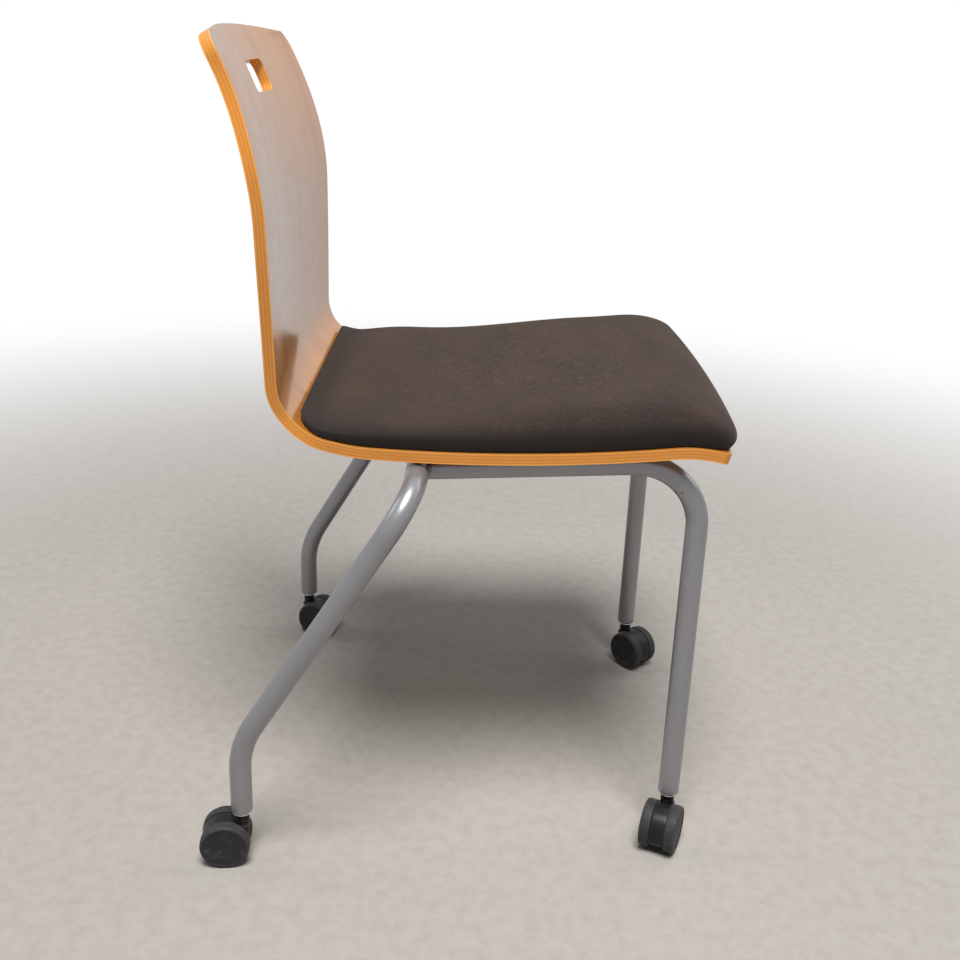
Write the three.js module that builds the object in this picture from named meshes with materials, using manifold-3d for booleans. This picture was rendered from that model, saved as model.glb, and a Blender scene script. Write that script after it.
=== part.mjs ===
// A nesting chair on casters: a one-piece bent plywood shell with a seat cushion, carried by a
// bent steel tube frame. The shell tips forward on the front cross tube, so that the next chair
// can roll in behind it. Units are millimetres, +Z is up, the sitter faces -Y, and the sitter's
// right is -X. The origin is at the middle of the footprint, on the floor.

import * as THREE from "three";
import { mergeVertices } from "three/addons/utils/BufferGeometryUtils.js";
import Module from "manifold-3d";

const wasm = await Module();
wasm.setup();

// Frame tube, and where its centre lines run
const tubeDiameter = 22.2;
const tubeWall = 2;
const legEndHeight = 58.8;
const plumbLength = 42;

const rearFootHalfTrack = 247.4;
const rearFootSetback = 203.6;
const rearKneeHeight = 136.4;
const rearKneeRadius = 104.6;
const hoopCornerHalfWidth = 270.2;
const hoopTopSetback = 32;
const hoopTopHeight = 421.8;
const hoopCornerRadius = 44.8;

const frontFootHalfTrack = 192.3;
const frontFootSplay = 2.3;
const frontCornerHalfWidth = 188;
const frontCornerReach = 243.3;
const frontBendRadius = 64.4;
const railRearHalfWidth = 185.4;
const railRearDrop = 3.3;

// Front cross tube, which is also the shell's pivot
const pivotTubeDiameter = 16;
const pivotTubeWall = 1.5;
const pivotSetback = 38.3;

// Plywood shell: its side profile is a chain of runs, each with a length and a turn in degrees
const plyThickness = 11;
const lipOverhang = 19.7;
const lipHeading = 15.7;
const lipRun = 53.6;
const lipTurn = -22.5;
const seatFrontRun = 212.9;
const seatFrontTurn = 6.9;
const seatRearRun = 117;
const seatRearTurn = 3.9;
const bendRun = 82.3;
const bendTurn = 85.4;
const lumbarRun = 143.2;
const lumbarTurn = -0.8;
const shoulderRun = 43;
const shoulderTurn = -8.4;
const crestRun = 127.6;
const crestTurn = -20.1;
const seatHalfWidth = 218;
const waistHalfWidth = 189.5;
const backHalfWidth = 215.8;
const crestHalfWidth = 202;
const frontCornerLength = 8;
const frontCornerDepth = 8;
const crestCornerRound = 22;
const lipBow = 6;
const lipBowFade = 8;
const crestArch = 14;
const crestArchFade = 4;
const backHollow = 12.5;

// Hand hole near the top of the back
const handHoleWidth = 88;
const handHoleHeight = 33;
const handHoleCorner = 10;
const handHoleBelowCrest = 54.6;

// Seat cushion, and the thin board that its foam is glued to
const cushionHalfWidth = 217.5;
const cushionFrontLap = 1.5;
const cushionLength = 423;
const cushionFrontCorner = 18;
const cushionRearCorner = 25;
const cushionFrontBow = 10;
const cushionWallHeight = 11;
const cushionRearCrown = 18;
const cushionFrontCrown = 37;
const cushionShoulder = 46;
const cushionDrawIn = 1.5;
const cushionFrontTuck = 1;
const cushionRearTuck = 5;
const crownFallStart = 110;
const crownFallEnd = 350;
const cushionSofteningShare = 0.6;
const cushionRearThinning = 11;
const thinningStart = 320;
const boardThickness = 5;
const boardInset = 18;
const boardRearInset = 62;

// Pivot blocks under the shell, with their caps and screws
const blockHalfSpacing = 90;
const blockWidth = 36;
const blockLength = 48;
const capDepth = 13;
const capCorner = 5;
const blockScrewSpacing = 31;
const blockScrewDiameter = 5;
const blockScrewHeadDiameter = 9.5;
const blockScrewHeadHeight = 3.4;
const headCrownShare = 0.7;
const insertDiameter = 8;
const insertLength = 8;

// Screws that hold the cushion board down
const boardScrewHalfSpacing = 92;
const boardScrewFrontReach = 128;
const boardScrewRearReach = 12;
const boardScrewDiameter = 4;
const boardScrewHeadDiameter = 8;
const boardScrewHeadHeight = 2.4;

// Rubber saddles on the rear hoop, under the shell
const saddleHalfSpacing = 130;
const saddleLength = 34;
const saddleThickness = 2.5;
const saddleHalfAngle = 38;

// Twin-wheel casters
const wheelDiameter = 50.8;
const wheelStepHeight = 4.2;
const wheelInnerOffset = 1.8;
const wheelStepOffset = 8.2;
const wheelOuterOffset = 19.5;
const wheelRound = 2.4;
const wheelBoreDepth = 11;
const casterTrail = 17.4;
const axleDiameter = 6;
const hoodWidth = 15.8;
const hoodWall = 2.4;
const hoodRecess = 0.8;
const hoodFrontReach = 3.6;
const hoodWebThickness = 2.6;
const hoodBossRadius = 8;
const hoodTailAngle = 33;
const hoodFrontFootHeight = 22;
const hoodShoulderHeight = 44.5;
const neckDiameter = 14.4;
const neckTopHeight = 57;
const stemDiameter = 11;
const stemSeatHeight = 48;
const stemRise = 30;
const socketRise = 34;
const socketDiameter = 17.4;
const socketFlangeDiameter = 20.4;
const socketFlangeThickness = 1.3;

// The swivel angle of each caster, in degrees from +X, as the wheels trail in the photograph
const rearRightSwivel = 95;
const frontRightSwivel = 157;
const frontLeftSwivel = -140;
const rearLeftSwivel = -112;

// Clearances
const seatGap = 0.3;
const jointGap = 0.3;
const holeGap = 0.3;
const cutOverrun = 6;
const weldMerge = 0.001;

// Mesh fineness, in counts
const tubeSides = 16;
const pivotTubeSides = 16;
const kneeSteps = 4;
const cornerSteps = 9;
const wheelSides = 24;
const smallSides = 12;
const screwSides = 10;
const shellColumns = 8;
const cushionCornerSteps = 4;
const cushionSideSteps = 6;

const degrees = Math.PI / 180;

// Materials

function paint(colour, roughness, metalness) {
  return new THREE.MeshStandardMaterial({ color: colour, roughness, metalness });
}

const framePaint = paint(0x85868a, 0.42, 0.55);
const plyLacquer = paint(0xc48a4f, 0.3, 0);
const boardPly = paint(0xb98e5c, 0.7, 0);
const seatCloth = paint(0x43362f, 0.95, 0);
const casterPlastic = paint(0x1d1d1f, 0.55, 0);
const casterTread = paint(0x262627, 0.7, 0);
const zincSteel = paint(0xb4b6b8, 0.35, 0.9);
const blockPlastic = paint(0x202022, 0.6, 0);
const softRubber = paint(0x161617, 0.85, 0);

const chair = new THREE.Group();

function addMesh(parent, name, geometry, material) {
  const mesh = new THREE.Mesh(geometry, material);
  mesh.name = name;
  parent.add(mesh);
  return mesh;
}

// Solids for joining and cutting

function solidOf(geometry) {
  const bare = geometry.clone();
  bare.deleteAttribute("normal");
  bare.deleteAttribute("uv");
  const merged = mergeVertices(bare, weldMerge);
  return new wasm.Manifold(
    new wasm.Mesh({
      numProp: 3,
      vertProperties: new Float32Array(merged.attributes.position.array),
      triVerts: new Uint32Array(merged.index.array),
    }),
  );
}

function geometryOf(solid) {
  const mesh = solid.getMesh();
  const geometry = new THREE.BufferGeometry();
  geometry.setAttribute("position", new THREE.BufferAttribute(mesh.vertProperties, 3));
  geometry.setIndex(new THREE.BufferAttribute(mesh.triVerts, 1));
  geometry.computeVertexNormals();
  return geometry;
}

function cut(body, ...tools) {
  let solid = solidOf(body);
  for (const tool of tools) solid = solid.subtract(solidOf(tool));
  return geometryOf(solid);
}

// A cylinder from one point to another
function rod(start, end, diameter, sides) {
  const axis = new THREE.Vector3().subVectors(end, start);
  const geometry = new THREE.CylinderGeometry(diameter / 2, diameter / 2, axis.length(), sides);
  const turn = new THREE.Quaternion().setFromUnitVectors(
    new THREE.Vector3(0, 1, 0),
    axis.clone().normalize(),
  );
  geometry.applyQuaternion(turn);
  const middle = new THREE.Vector3().addVectors(start, end).multiplyScalar(1 / 2);
  geometry.translate(middle.x, middle.y, middle.z);
  return geometry;
}

function uprightRod(x, y, low, high, diameter, sides) {
  return rod(new THREE.Vector3(x, y, low), new THREE.Vector3(x, y, high), diameter, sides);
}

// A solid of revolution about +Z, from [radius, height] pairs
function turned(profile, sides, turnStart = 0) {
  const points = profile.map(([radius, height]) => new THREE.Vector2(radius, height));
  return new THREE.LatheGeometry(points, sides, turnStart).rotateX(90 * degrees);
}

// A side outline in the YZ plane, given as [y, z] pairs, extruded to a width along X
function extrudedAlongX(shape, width) {
  const geometry = new THREE.ExtrudeGeometry(shape, {
    depth: width,
    bevelEnabled: false,
    curveSegments: 8,
  });
  const basis = new THREE.Matrix4().makeBasis(
    new THREE.Vector3(0, 1, 0),
    new THREE.Vector3(0, 0, 1),
    new THREE.Vector3(1, 0, 0),
  );
  geometry.applyMatrix4(basis);
  geometry.translate(-width / 2, 0, 0);
  return geometry;
}

// Bent tubes

// The round stretch that a tube takes at one corner of its centre line
function bendAt(before, at, after, radius) {
  const toBefore = new THREE.Vector3().subVectors(before, at).normalize();
  const toAfter = new THREE.Vector3().subVectors(after, at).normalize();
  const between = toBefore.angleTo(toAfter);
  const tangentLength = radius / Math.tan(between / 2);
  const start = at.clone().addScaledVector(toBefore, tangentLength);
  const bisector = new THREE.Vector3().addVectors(toBefore, toAfter).normalize();
  const centre = at.clone().addScaledVector(bisector, radius / Math.sin(between / 2));
  const outward = new THREE.Vector3().subVectors(start, centre).normalize();
  const onward = toBefore.clone().negate();
  const sweep = Math.PI - between;
  const pointAt = (angle) =>
    centre
      .clone()
      .addScaledVector(outward, radius * Math.cos(angle))
      .addScaledVector(onward, radius * Math.sin(angle));
  const headingAt = (angle) =>
    outward
      .clone()
      .multiplyScalar(-Math.sin(angle))
      .addScaledVector(onward, Math.cos(angle));
  return { centre, sweep, pointAt, headingAt };
}

// A centre line of straights and bends, with one station at each end of a straight
class TubeLine extends THREE.Curve {
  constructor(corners, radii, steps) {
    super();
    this.points = [corners[0]];
    this.headings = [new THREE.Vector3().subVectors(corners[1], corners[0]).normalize()];
    for (let i = 1; i < corners.length - 1; i++) {
      const bend = bendAt(corners[i - 1], corners[i], corners[i + 1], radii[i - 1]);
      for (let k = 0; k <= steps[i - 1]; k++) {
        const angle = (bend.sweep * k) / steps[i - 1];
        this.points.push(bend.pointAt(angle));
        this.headings.push(bend.headingAt(angle));
      }
    }
    const last = corners.length - 1;
    this.points.push(corners[last]);
    this.headings.push(new THREE.Vector3().subVectors(corners[last], corners[last - 1]).normalize());
  }

  get stepCount() {
    return this.points.length - 1;
  }

  stationAt(list, share) {
    const place = Math.min(share * this.stepCount, this.stepCount);
    const index = Math.min(Math.floor(place), this.stepCount - 1);
    return list[index].clone().lerp(list[index + 1], place - index);
  }

  getPoint(share) {
    return this.stationAt(this.points, share);
  }

  getPointAt(share) {
    return this.getPoint(share);
  }

  getTangentAt(share) {
    return this.stationAt(this.headings, share).normalize();
  }
}

function ringPoints(radius, sides) {
  return Array.from({ length: sides }, (_, i) => {
    const angle = ((i + 1 / 2) * 2 * Math.PI) / sides;
    return new THREE.Vector2(radius * Math.cos(angle), radius * Math.sin(angle));
  });
}

function sweptTube(line, outerRadius, innerRadius, sides) {
  const section = new THREE.Shape(ringPoints(outerRadius, sides));
  if (innerRadius > 0) section.holes.push(new THREE.Path(ringPoints(innerRadius, sides)));
  return new THREE.ExtrudeGeometry(section, { steps: line.stepCount, extrudePath: line });
}

const tubeRadius = tubeDiameter / 2;
const frontFootReach = frontCornerReach + frontFootSplay;
const pivotReach = frontCornerReach - pivotSetback;
const lipReach = frontCornerReach + lipOverhang;

function sideTubeCorners(side) {
  return [
    new THREE.Vector3(side * frontFootHalfTrack, -frontFootReach, legEndHeight),
    new THREE.Vector3(side * frontFootHalfTrack, -frontFootReach, legEndHeight + plumbLength),
    new THREE.Vector3(side * frontCornerHalfWidth, -frontCornerReach, frontCornerHeight),
    new THREE.Vector3(side * railRearHalfWidth, hoopTopSetback, hoopTopHeight - railRearDrop),
  ];
}

function sideTubeLine(side) {
  return new TubeLine(
    sideTubeCorners(side),
    [frontBendRadius, frontBendRadius],
    [1, cornerSteps],
  );
}

const hoopLine = new TubeLine(
  [
    new THREE.Vector3(-rearFootHalfTrack, rearFootSetback, legEndHeight),
    new THREE.Vector3(-rearFootHalfTrack, rearFootSetback, rearKneeHeight),
    new THREE.Vector3(-hoopCornerHalfWidth, hoopTopSetback, hoopTopHeight),
    new THREE.Vector3(hoopCornerHalfWidth, hoopTopSetback, hoopTopHeight),
    new THREE.Vector3(rearFootHalfTrack, rearFootSetback, rearKneeHeight),
    new THREE.Vector3(rearFootHalfTrack, rearFootSetback, legEndHeight),
  ],
  [rearKneeRadius, hoopCornerRadius, hoopCornerRadius, rearKneeRadius],
  [kneeSteps, cornerSteps, cornerSteps, kneeSteps],
);

// The pivot lies on the centre line of the side tubes' top bend
function pivotPoint(side) {
  const [, plumbTop, bendCorner, railEnd] = sideTubeCorners(side);
  const bend = bendAt(plumbTop, bendCorner, railEnd, frontBendRadius);
  const rise = Math.sqrt(frontBendRadius ** 2 - (pivotReach + bend.centre.y) ** 2);
  const rearward = (-pivotReach - bendCorner.y) / (railEnd.y - bendCorner.y);
  const x = THREE.MathUtils.lerp(bendCorner.x, railEnd.x, rearward);
  return new THREE.Vector3(x, -pivotReach, bend.centre.z + rise);
}

function makeFrame() {
  const hoopKeepOut = sweptTube(hoopLine, tubeRadius + jointGap, 0, tubeSides);
  const hoop = sweptTube(hoopLine, tubeRadius, tubeRadius - tubeWall, tubeSides);
  addMesh(chair, "rear_hoop", hoop, framePaint);

  const keepOuts = [];
  for (const [side, word] of [[-1, "right"], [1, "left"]]) {
    const line = sideTubeLine(side);
    const tube = sweptTube(line, tubeRadius, tubeRadius - tubeWall, tubeSides);
    addMesh(chair, `${word}_side_tube`, cut(tube, hoopKeepOut), framePaint);
    keepOuts.push(sweptTube(line, tubeRadius + jointGap, 0, tubeSides));
  }

  const pivotLine = new TubeLine([pivotPoint(-1), pivotPoint(1)], [], []);
  const pivotRadius = pivotTubeDiameter / 2;
  const pivotTube = sweptTube(pivotLine, pivotRadius, pivotRadius - pivotTubeWall, pivotTubeSides);
  addMesh(chair, "front_cross_tube", cut(pivotTube, ...keepOuts), framePaint);
}

// The shell's side profile

const profileRuns = [
  { run: lipRun, turn: lipTurn, steps: 5 },
  { run: seatFrontRun, turn: seatFrontTurn, steps: 4 },
  { run: seatRearRun, turn: seatRearTurn, steps: 2 },
  { run: bendRun, turn: bendTurn, steps: 9 },
  { run: lumbarRun, turn: lumbarTurn, steps: 3 },
  { run: shoulderRun, turn: shoulderTurn, steps: 2 },
  { run: crestRun, turn: crestTurn, steps: 4 },
];

// The middle of the plywood at a distance along the profile, with its heading above +Y. Its
// height counts from the lip's.
function profileFromLip(distance) {
  let y = -lipReach;
  let z = 0;
  let heading = lipHeading * degrees;
  let left = distance;
  for (const [index, { run, turn }] of profileRuns.entries()) {
    const last = index === profileRuns.length - 1;
    const part = last ? left : Math.min(left, run);
    const bend = distance < 0 ? 0 : (turn * degrees * part) / run;
    const chord = bend === 0 ? part : (part * Math.sin(bend / 2)) / (bend / 2);
    y += chord * Math.cos(heading + bend / 2);
    z += chord * Math.sin(heading + bend / 2);
    heading += bend;
    left -= part;
    if (left <= 0) break;
  }
  return { y, z, heading };
}

const bendStart = lipRun + seatFrontRun + seatRearRun;
const bendEnd = bendStart + bendRun;
const profileLength = profileRuns.reduce((sum, { run }) => sum + run, 0);

// Where the profile passes a given Y on the seat, found by halving
function distanceAtY(y) {
  const halvings = 40;
  let low = 0;
  let high = bendStart;
  for (let i = 0; i < halvings; i++) {
    const middle = (low + high) / 2;
    if (profileFromLip(middle).y < y) low = middle;
    else high = middle;
  }
  return low;
}

// The lip's height, with the shell's underside resting on the saddles
const saddleRadius = tubeRadius + seatGap + saddleThickness;

function restingLipHeight() {
  const { z, heading } = profileFromLip(distanceAtY(hoopTopSetback));
  const middleOfPly = (plyThickness / 2) * Math.cos(heading);
  return hoopTopHeight + saddleRadius + seatGap + middleOfPly - z;
}

const lipHeight = restingLipHeight();

function profileAt(distance) {
  const { y, z, heading } = profileFromLip(distance);
  return { y, z: lipHeight + z, heading };
}

function blend(low, high, from, to, distance) {
  return low + (high - low) * THREE.MathUtils.smoothstep(distance, from, to);
}

// How far a rounded corner draws the edge in, at a distance from the end
function cornerDrawIn(length, depth, fromEnd) {
  const share = THREE.MathUtils.clamp(1 - fromEnd / length, 0, 1);
  return depth * (1 - Math.sqrt(1 - share ** 2));
}

const waistPlace = (bendStart + 2 * bendEnd) / 3;
const widestPlace = bendEnd + lumbarRun + shoulderRun;

// The shell narrows from the seat to the waist, widens up the back and narrows to the crest
function shellHalfWidth(distance) {
  const waistStart = bendStart - bendRun / 2;
  const backStart = waistPlace - lumbarRun / 2;
  const crestStart = profileLength - crestCornerRound;
  const toWaist = blend(0, seatHalfWidth - waistHalfWidth, waistStart, waistPlace, distance);
  const toBack = blend(0, backHalfWidth - waistHalfWidth, backStart, widestPlace, distance);
  const toCrest = blend(0, backHalfWidth - crestHalfWidth, widestPlace, crestStart, distance);
  const front = cornerDrawIn(frontCornerLength, frontCornerDepth, distance);
  const crest = cornerDrawIn(crestCornerRound, crestCornerRound, profileLength - distance);
  return seatHalfWidth - toWaist + toBack - toCrest - front - crest;
}

// The hollow across the back, which fades out on the seat
function hollowAt(distance) {
  return blend(0, backHollow, bendStart, bendEnd + lumbarRun / 3, distance);
}

// A point over the sitter's face of the shell, at a height square to the side profile
function shellPoint(x, distance, height) {
  const { y, z, heading } = profileAt(distance);
  const share = x / shellHalfWidth(THREE.MathUtils.clamp(distance, frontCornerLength, profileLength));
  const lift = height + plyThickness / 2 - hollowAt(distance) * (1 - share ** 2);
  return new THREE.Vector3(x, y - lift * Math.sin(heading), z + lift * Math.cos(heading));
}

// A closed sheet that follows the shell between two heights. The bows move its first and last
// rows along the profile, more at the middle than at the sides, and fade out as powers.
function sheetSolid({ rows, columns, halfWidthAt, frontBow, rearBow, low, high }) {
  const first = rows[0];
  const last = rows[rows.length - 1];
  const points = [];
  for (const height of [low, high]) {
    for (const row of rows) {
      const along = (row - first) / (last - first);
      for (let i = 0; i <= columns; i++) {
        const share = (2 * i) / columns - 1;
        const bulge = 1 - share ** 2;
        const rearShift = rearBow * along ** crestArchFade;
        const frontShift = frontBow * (1 - along) ** lipBowFade;
        const place = row + (rearShift - frontShift) * bulge;
        points.push(shellPoint(share * halfWidthAt(row), place, height));
      }
    }
  }
  const wide = columns + 1;
  const layer = rows.length * wide;
  const faces = [];
  const quad = (a, b, c, d) => faces.push(a, b, c, a, c, d);
  for (let r = 0; r < rows.length - 1; r++) {
    for (let i = 0; i < columns; i++) {
      const at = r * wide + i;
      quad(at, at + wide, at + wide + 1, at + 1);
      quad(layer + at, layer + at + 1, layer + at + wide + 1, layer + at + wide);
    }
    const left = r * wide;
    const right = left + columns;
    quad(left, layer + left, layer + left + wide, left + wide);
    quad(right, right + wide, layer + right + wide, layer + right);
  }
  for (let i = 0; i < columns; i++) {
    const end = (rows.length - 1) * wide + i;
    quad(i, i + 1, layer + i + 1, layer + i);
    quad(end, layer + end, layer + end + 1, end + 1);
  }
  return indexedGeometry(points, faces);
}

function indexedGeometry(points, faces) {
  const geometry = new THREE.BufferGeometry();
  geometry.setFromPoints(points);
  geometry.setIndex(faces);
  geometry.computeVertexNormals();
  return geometry;
}

function shellRows() {
  const rows = [0];
  let start = 0;
  for (const { run, steps } of profileRuns) {
    for (let k = 1; k <= steps; k++) rows.push(start + (run * k) / steps);
    start += run;
  }
  const cornerShares = [0.02, 0.08, 0.2, 0.4, 0.68];
  const frontRows = cornerShares.map((share) => share * frontCornerLength);
  const crestRows = cornerShares.map((share) => profileLength - share * crestCornerRound);
  const spread = rows.filter(
    (row) => row === 0 || row >= frontCornerLength && row <= profileLength - crestCornerRound,
  );
  return [...spread, ...frontRows, ...crestRows, profileLength].sort((a, b) => a - b);
}

// The hand hole's cutter, standing square to the back
function handHoleCutter() {
  const place = profileLength + crestArch - handHoleBelowCrest;
  const { y, z, heading } = profileAt(place);
  const halfWidth = handHoleWidth / 2;
  const halfHeight = handHoleHeight / 2;
  const r = handHoleCorner;
  const outline = new THREE.Shape();
  outline.absarc(halfWidth - r, halfHeight - r, r, 0, 90 * degrees);
  outline.absarc(r - halfWidth, halfHeight - r, r, 90 * degrees, 180 * degrees);
  outline.absarc(r - halfWidth, r - halfHeight, r, 180 * degrees, 270 * degrees);
  outline.absarc(halfWidth - r, r - halfHeight, r, 270 * degrees, 360 * degrees);
  const depth = 2 * (plyThickness + backHollow + cutOverrun);
  const cutter = new THREE.ExtrudeGeometry(outline, {
    depth,
    bevelEnabled: false,
    curveSegments: 4,
  });
  cutter.translate(0, 0, -depth / 2);
  const basis = new THREE.Matrix4().makeBasis(
    new THREE.Vector3(1, 0, 0),
    new THREE.Vector3(0, Math.cos(heading), Math.sin(heading)),
    new THREE.Vector3(0, -Math.sin(heading), Math.cos(heading)),
  );
  cutter.applyMatrix4(basis);
  cutter.translate(0, y, z);
  return cutter;
}

function faceHeightAtY(y, height) {
  return shellPoint(0, distanceAtY(y), height).z;
}

// The side rails rise from the hoop to their front bends as steeply as the shell's underside
// lets them, so that they lie close below it
function railSlope() {
  const samples = 24;
  const railTop = hoopTopHeight - railRearDrop + tubeRadius;
  const slopes = Array.from({ length: samples }, (_, k) => {
    const y = THREE.MathUtils.lerp(frontBendRadius - frontCornerReach, hoopTopSetback, k / samples);
    return (faceHeightAtY(y, -plyThickness) - seatGap - railTop) / (hoopTopSetback - y);
  });
  return Math.min(...slopes);
}

const railRun = frontCornerReach + hoopTopSetback;
const frontCornerHeight = hoopTopHeight - railRearDrop + railSlope() * railRun;

const pivot = pivotPoint(1);
const blockScrewPlaces = [-1, 1].flatMap((side) =>
  [-1, 1].map((end) => ({
    x: side * blockHalfSpacing,
    y: pivot.y + (end * blockScrewSpacing) / 2,
    name: `${side < 0 ? "right" : "left"}_${end < 0 ? "front" : "rear"}`,
  })),
);
const boardScrewPlaces = [-1, 1].flatMap((side) =>
  [boardScrewFrontReach, boardScrewRearReach].map((reach) => ({
    x: side * boardScrewHalfSpacing,
    y: -reach,
    name: `${side < 0 ? "right" : "left"}_${reach === boardScrewFrontReach ? "front" : "rear"}`,
  })),
);

// An upright cutter through the shell and what lies on it
function seatDrill({ x, y }, diameter) {
  const low = faceHeightAtY(y, -plyThickness) - cutOverrun;
  const high = faceHeightAtY(y, boardThickness) + cutOverrun;
  return uprightRod(x, y, low, high, diameter, screwSides);
}

function makeShell() {
  const body = sheetSolid({
    rows: shellRows(),
    columns: shellColumns,
    halfWidthAt: shellHalfWidth,
    frontBow: lipBow,
    rearBow: crestArch,
    low: -plyThickness,
    high: 0,
  });
  const insertHole = insertDiameter + 2 * holeGap;
  const boardHole = boardScrewDiameter + 2 * holeGap;
  const tools = [
    handHoleCutter(),
    ...blockScrewPlaces.map((place) => seatDrill(place, insertHole)),
    ...boardScrewPlaces.map((place) => seatDrill(place, boardHole)),
  ];
  addMesh(chair, "seat_shell", cut(body, ...tools), plyLacquer);
}

// The cushion and its board

function boardSheet(grow, low, high) {
  const start = boardInset - grow;
  const end = cushionLength - boardRearInset + grow;
  const halfWidth = cushionHalfWidth - boardInset + grow;
  const between = shellRows().filter((row) => row > start && row < end);
  return sheetSolid({
    rows: [start, ...between, end],
    columns: 2,
    halfWidthAt: () => halfWidth,
    frontBow: 0,
    rearBow: 0,
    low,
    high,
  });
}

// One loop round the cushion at an inset from its edge: a rounded rectangle on the shell, bowed
// out at the front, that narrows as the shell does. The tuck, a share, draws the front and rear
// in where they meet the shell.
function cushionLoop(inset, tuckShare = 0) {
  const halfLength = (cushionLength + cushionFrontLap) / 2;
  const middle = halfLength - cushionFrontLap;
  const corners = [
    { side: 1, end: 1, radius: cushionRearCorner, start: 0 },
    { side: -1, end: 1, radius: cushionRearCorner, start: 90 },
    { side: -1, end: -1, radius: cushionFrontCorner, start: 180 },
    { side: 1, end: -1, radius: cushionFrontCorner, start: 270 },
  ];
  const arcs = corners.map(({ side, end, radius, start }) => {
    const round = radius + inset * cushionSofteningShare;
    const x = side * (cushionHalfWidth - inset - round);
    const y = end * (halfLength - inset - round);
    return Array.from({ length: cushionCornerSteps + 1 }, (_, k) => {
      const angle = (start + (90 * k) / cushionCornerSteps) * degrees;
      return new THREE.Vector2(x + round * Math.cos(angle), y + round * Math.sin(angle));
    });
  });
  const loop = arcs.flatMap((arc, i) => {
    const from = arc[cushionCornerSteps];
    const to = arcs[(i + 1) % arcs.length][0];
    const side = Array.from({ length: cushionSideSteps - 1 }, (_, k) =>
      from.clone().lerp(to, (k + 1) / cushionSideSteps),
    );
    return [...arc, ...side];
  });
  return loop.map(({ x, y }) => {
    const towardFront = Math.max(-y / halfLength, 0) ** 2;
    const towardRear = Math.max(y / halfLength, 0) ** 2;
    const bow = cushionFrontBow * (1 - (x / cushionHalfWidth) ** 2) * towardFront;
    const tuck = tuckShare * (cushionFrontTuck * towardFront - cushionRearTuck * towardRear);
    const distance = middle + y - bow + tuck;
    const narrowing = shellHalfWidth(Math.max(distance, frontCornerLength)) / seatHalfWidth;
    return { x: x * narrowing, distance };
  });
}

// How high the cushion's top lies over the shell, at an inset from its edge
function cushionTop(distance, inset) {
  const crown = blend(
    cushionFrontCrown,
    cushionRearCrown,
    crownFallStart,
    crownFallEnd,
    distance,
  );
  const thinning = blend(0, cushionRearThinning, thinningStart, cushionLength, distance);
  const wall = cushionWallHeight - thinning / 2;
  const rise = Math.min(inset / cushionShoulder, 1);
  return wall + (crown - thinning - wall) * Math.sqrt(1 - (1 - rise) ** 2);
}

function makeCushion() {
  const halfWall = cushionWallHeight / 2;
  const shoulderShares = [0.05, 0.18, 0.4, 0.7, 1];
  const innerShares = [0.6, 0.3];
  const rings = [
    { inset: cushionDrawIn, tuckShare: 1, height: () => -cutOverrun },
    { inset: cushionDrawIn, tuckShare: 1, height: () => seatGap },
    { inset: cushionDrawIn / 3, tuckShare: 1 / 3, height: () => halfWall },
    { inset: 0, height: (distance) => cushionTop(distance, 0) },
    ...shoulderShares.map((share) => ({
      inset: share * cushionShoulder,
      height: (distance) => cushionTop(distance, share * cushionShoulder),
    })),
  ];
  const points = [];
  for (const ring of rings) {
    for (const { x, distance } of cushionLoop(ring.inset, ring.tuckShare)) {
      points.push(shellPoint(x, distance, ring.height(distance)));
    }
  }
  const middle = cushionLength / 2;
  for (const share of innerShares) {
    for (const { x, distance } of cushionLoop(cushionShoulder)) {
      const place = THREE.MathUtils.lerp(middle, distance, share);
      points.push(shellPoint(x * share, place, cushionTop(place, cushionShoulder)));
    }
  }
  const topMiddle = points.push(shellPoint(0, middle, cushionTop(middle, cushionShoulder))) - 1;
  const lowRing = points.length;
  const sink = plyThickness + cutOverrun;
  for (const { x, distance } of cushionLoop(cushionDrawIn)) {
    points.push(shellPoint(x / 2, (middle + distance) / 2, -sink));
  }
  const lowMiddle = points.push(shellPoint(0, middle, -sink)) - 1;

  const spokes = cushionLoop(0).length;
  const faces = [];
  const layers = rings.length + innerShares.length;
  for (let i = 0; i < spokes; i++) {
    const next = (i + 1) % spokes;
    for (let k = 0; k < layers - 1; k++) {
      const a = k * spokes;
      const b = a + spokes;
      faces.push(a + i, a + next, b + next, a + i, b + next, b + i);
    }
    const top = (layers - 1) * spokes;
    faces.push(top + i, top + next, topMiddle);
    faces.push(i, lowRing + next, next, i, lowRing + i, lowRing + next);
    faces.push(lowRing + i, lowMiddle, lowRing + next);
  }
  const pad = indexedGeometry(points, faces);
  const margin = 2 * cutOverrun;
  const shellKeepOut = sheetSolid({
    rows: [-margin, ...shellRows()],
    columns: shellColumns,
    halfWidthAt: () => backHalfWidth + margin,
    frontBow: 0,
    rearBow: 0,
    low: -sink - plyThickness,
    high: seatGap,
  });
  const pocket = boardSheet(holeGap, -sink, seatGap + boardThickness + seatGap);
  addMesh(chair, "seat_cushion", cut(pad, shellKeepOut, pocket), seatCloth);

  const board = boardSheet(0, seatGap, seatGap + boardThickness);
  const boardHole = boardScrewDiameter + 2 * holeGap;
  const drills = boardScrewPlaces.map((place) => seatDrill(place, boardHole));
  addMesh(chair, "cushion_board", cut(board, ...drills), boardPly);
}

// Pivot blocks, caps, screws and inserts

function blockProfile() {
  const steps = 5;
  const rear = pivot.y + blockLength / 2;
  const front = pivot.y - blockLength / 2;
  const shape = new THREE.Shape();
  shape.moveTo(front, pivot.z);
  shape.lineTo(rear, pivot.z);
  for (let k = 0; k <= steps; k++) {
    const y = THREE.MathUtils.lerp(rear, front, k / steps);
    shape.lineTo(y, faceHeightAtY(y, -plyThickness - seatGap));
  }
  return shape;
}

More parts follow.
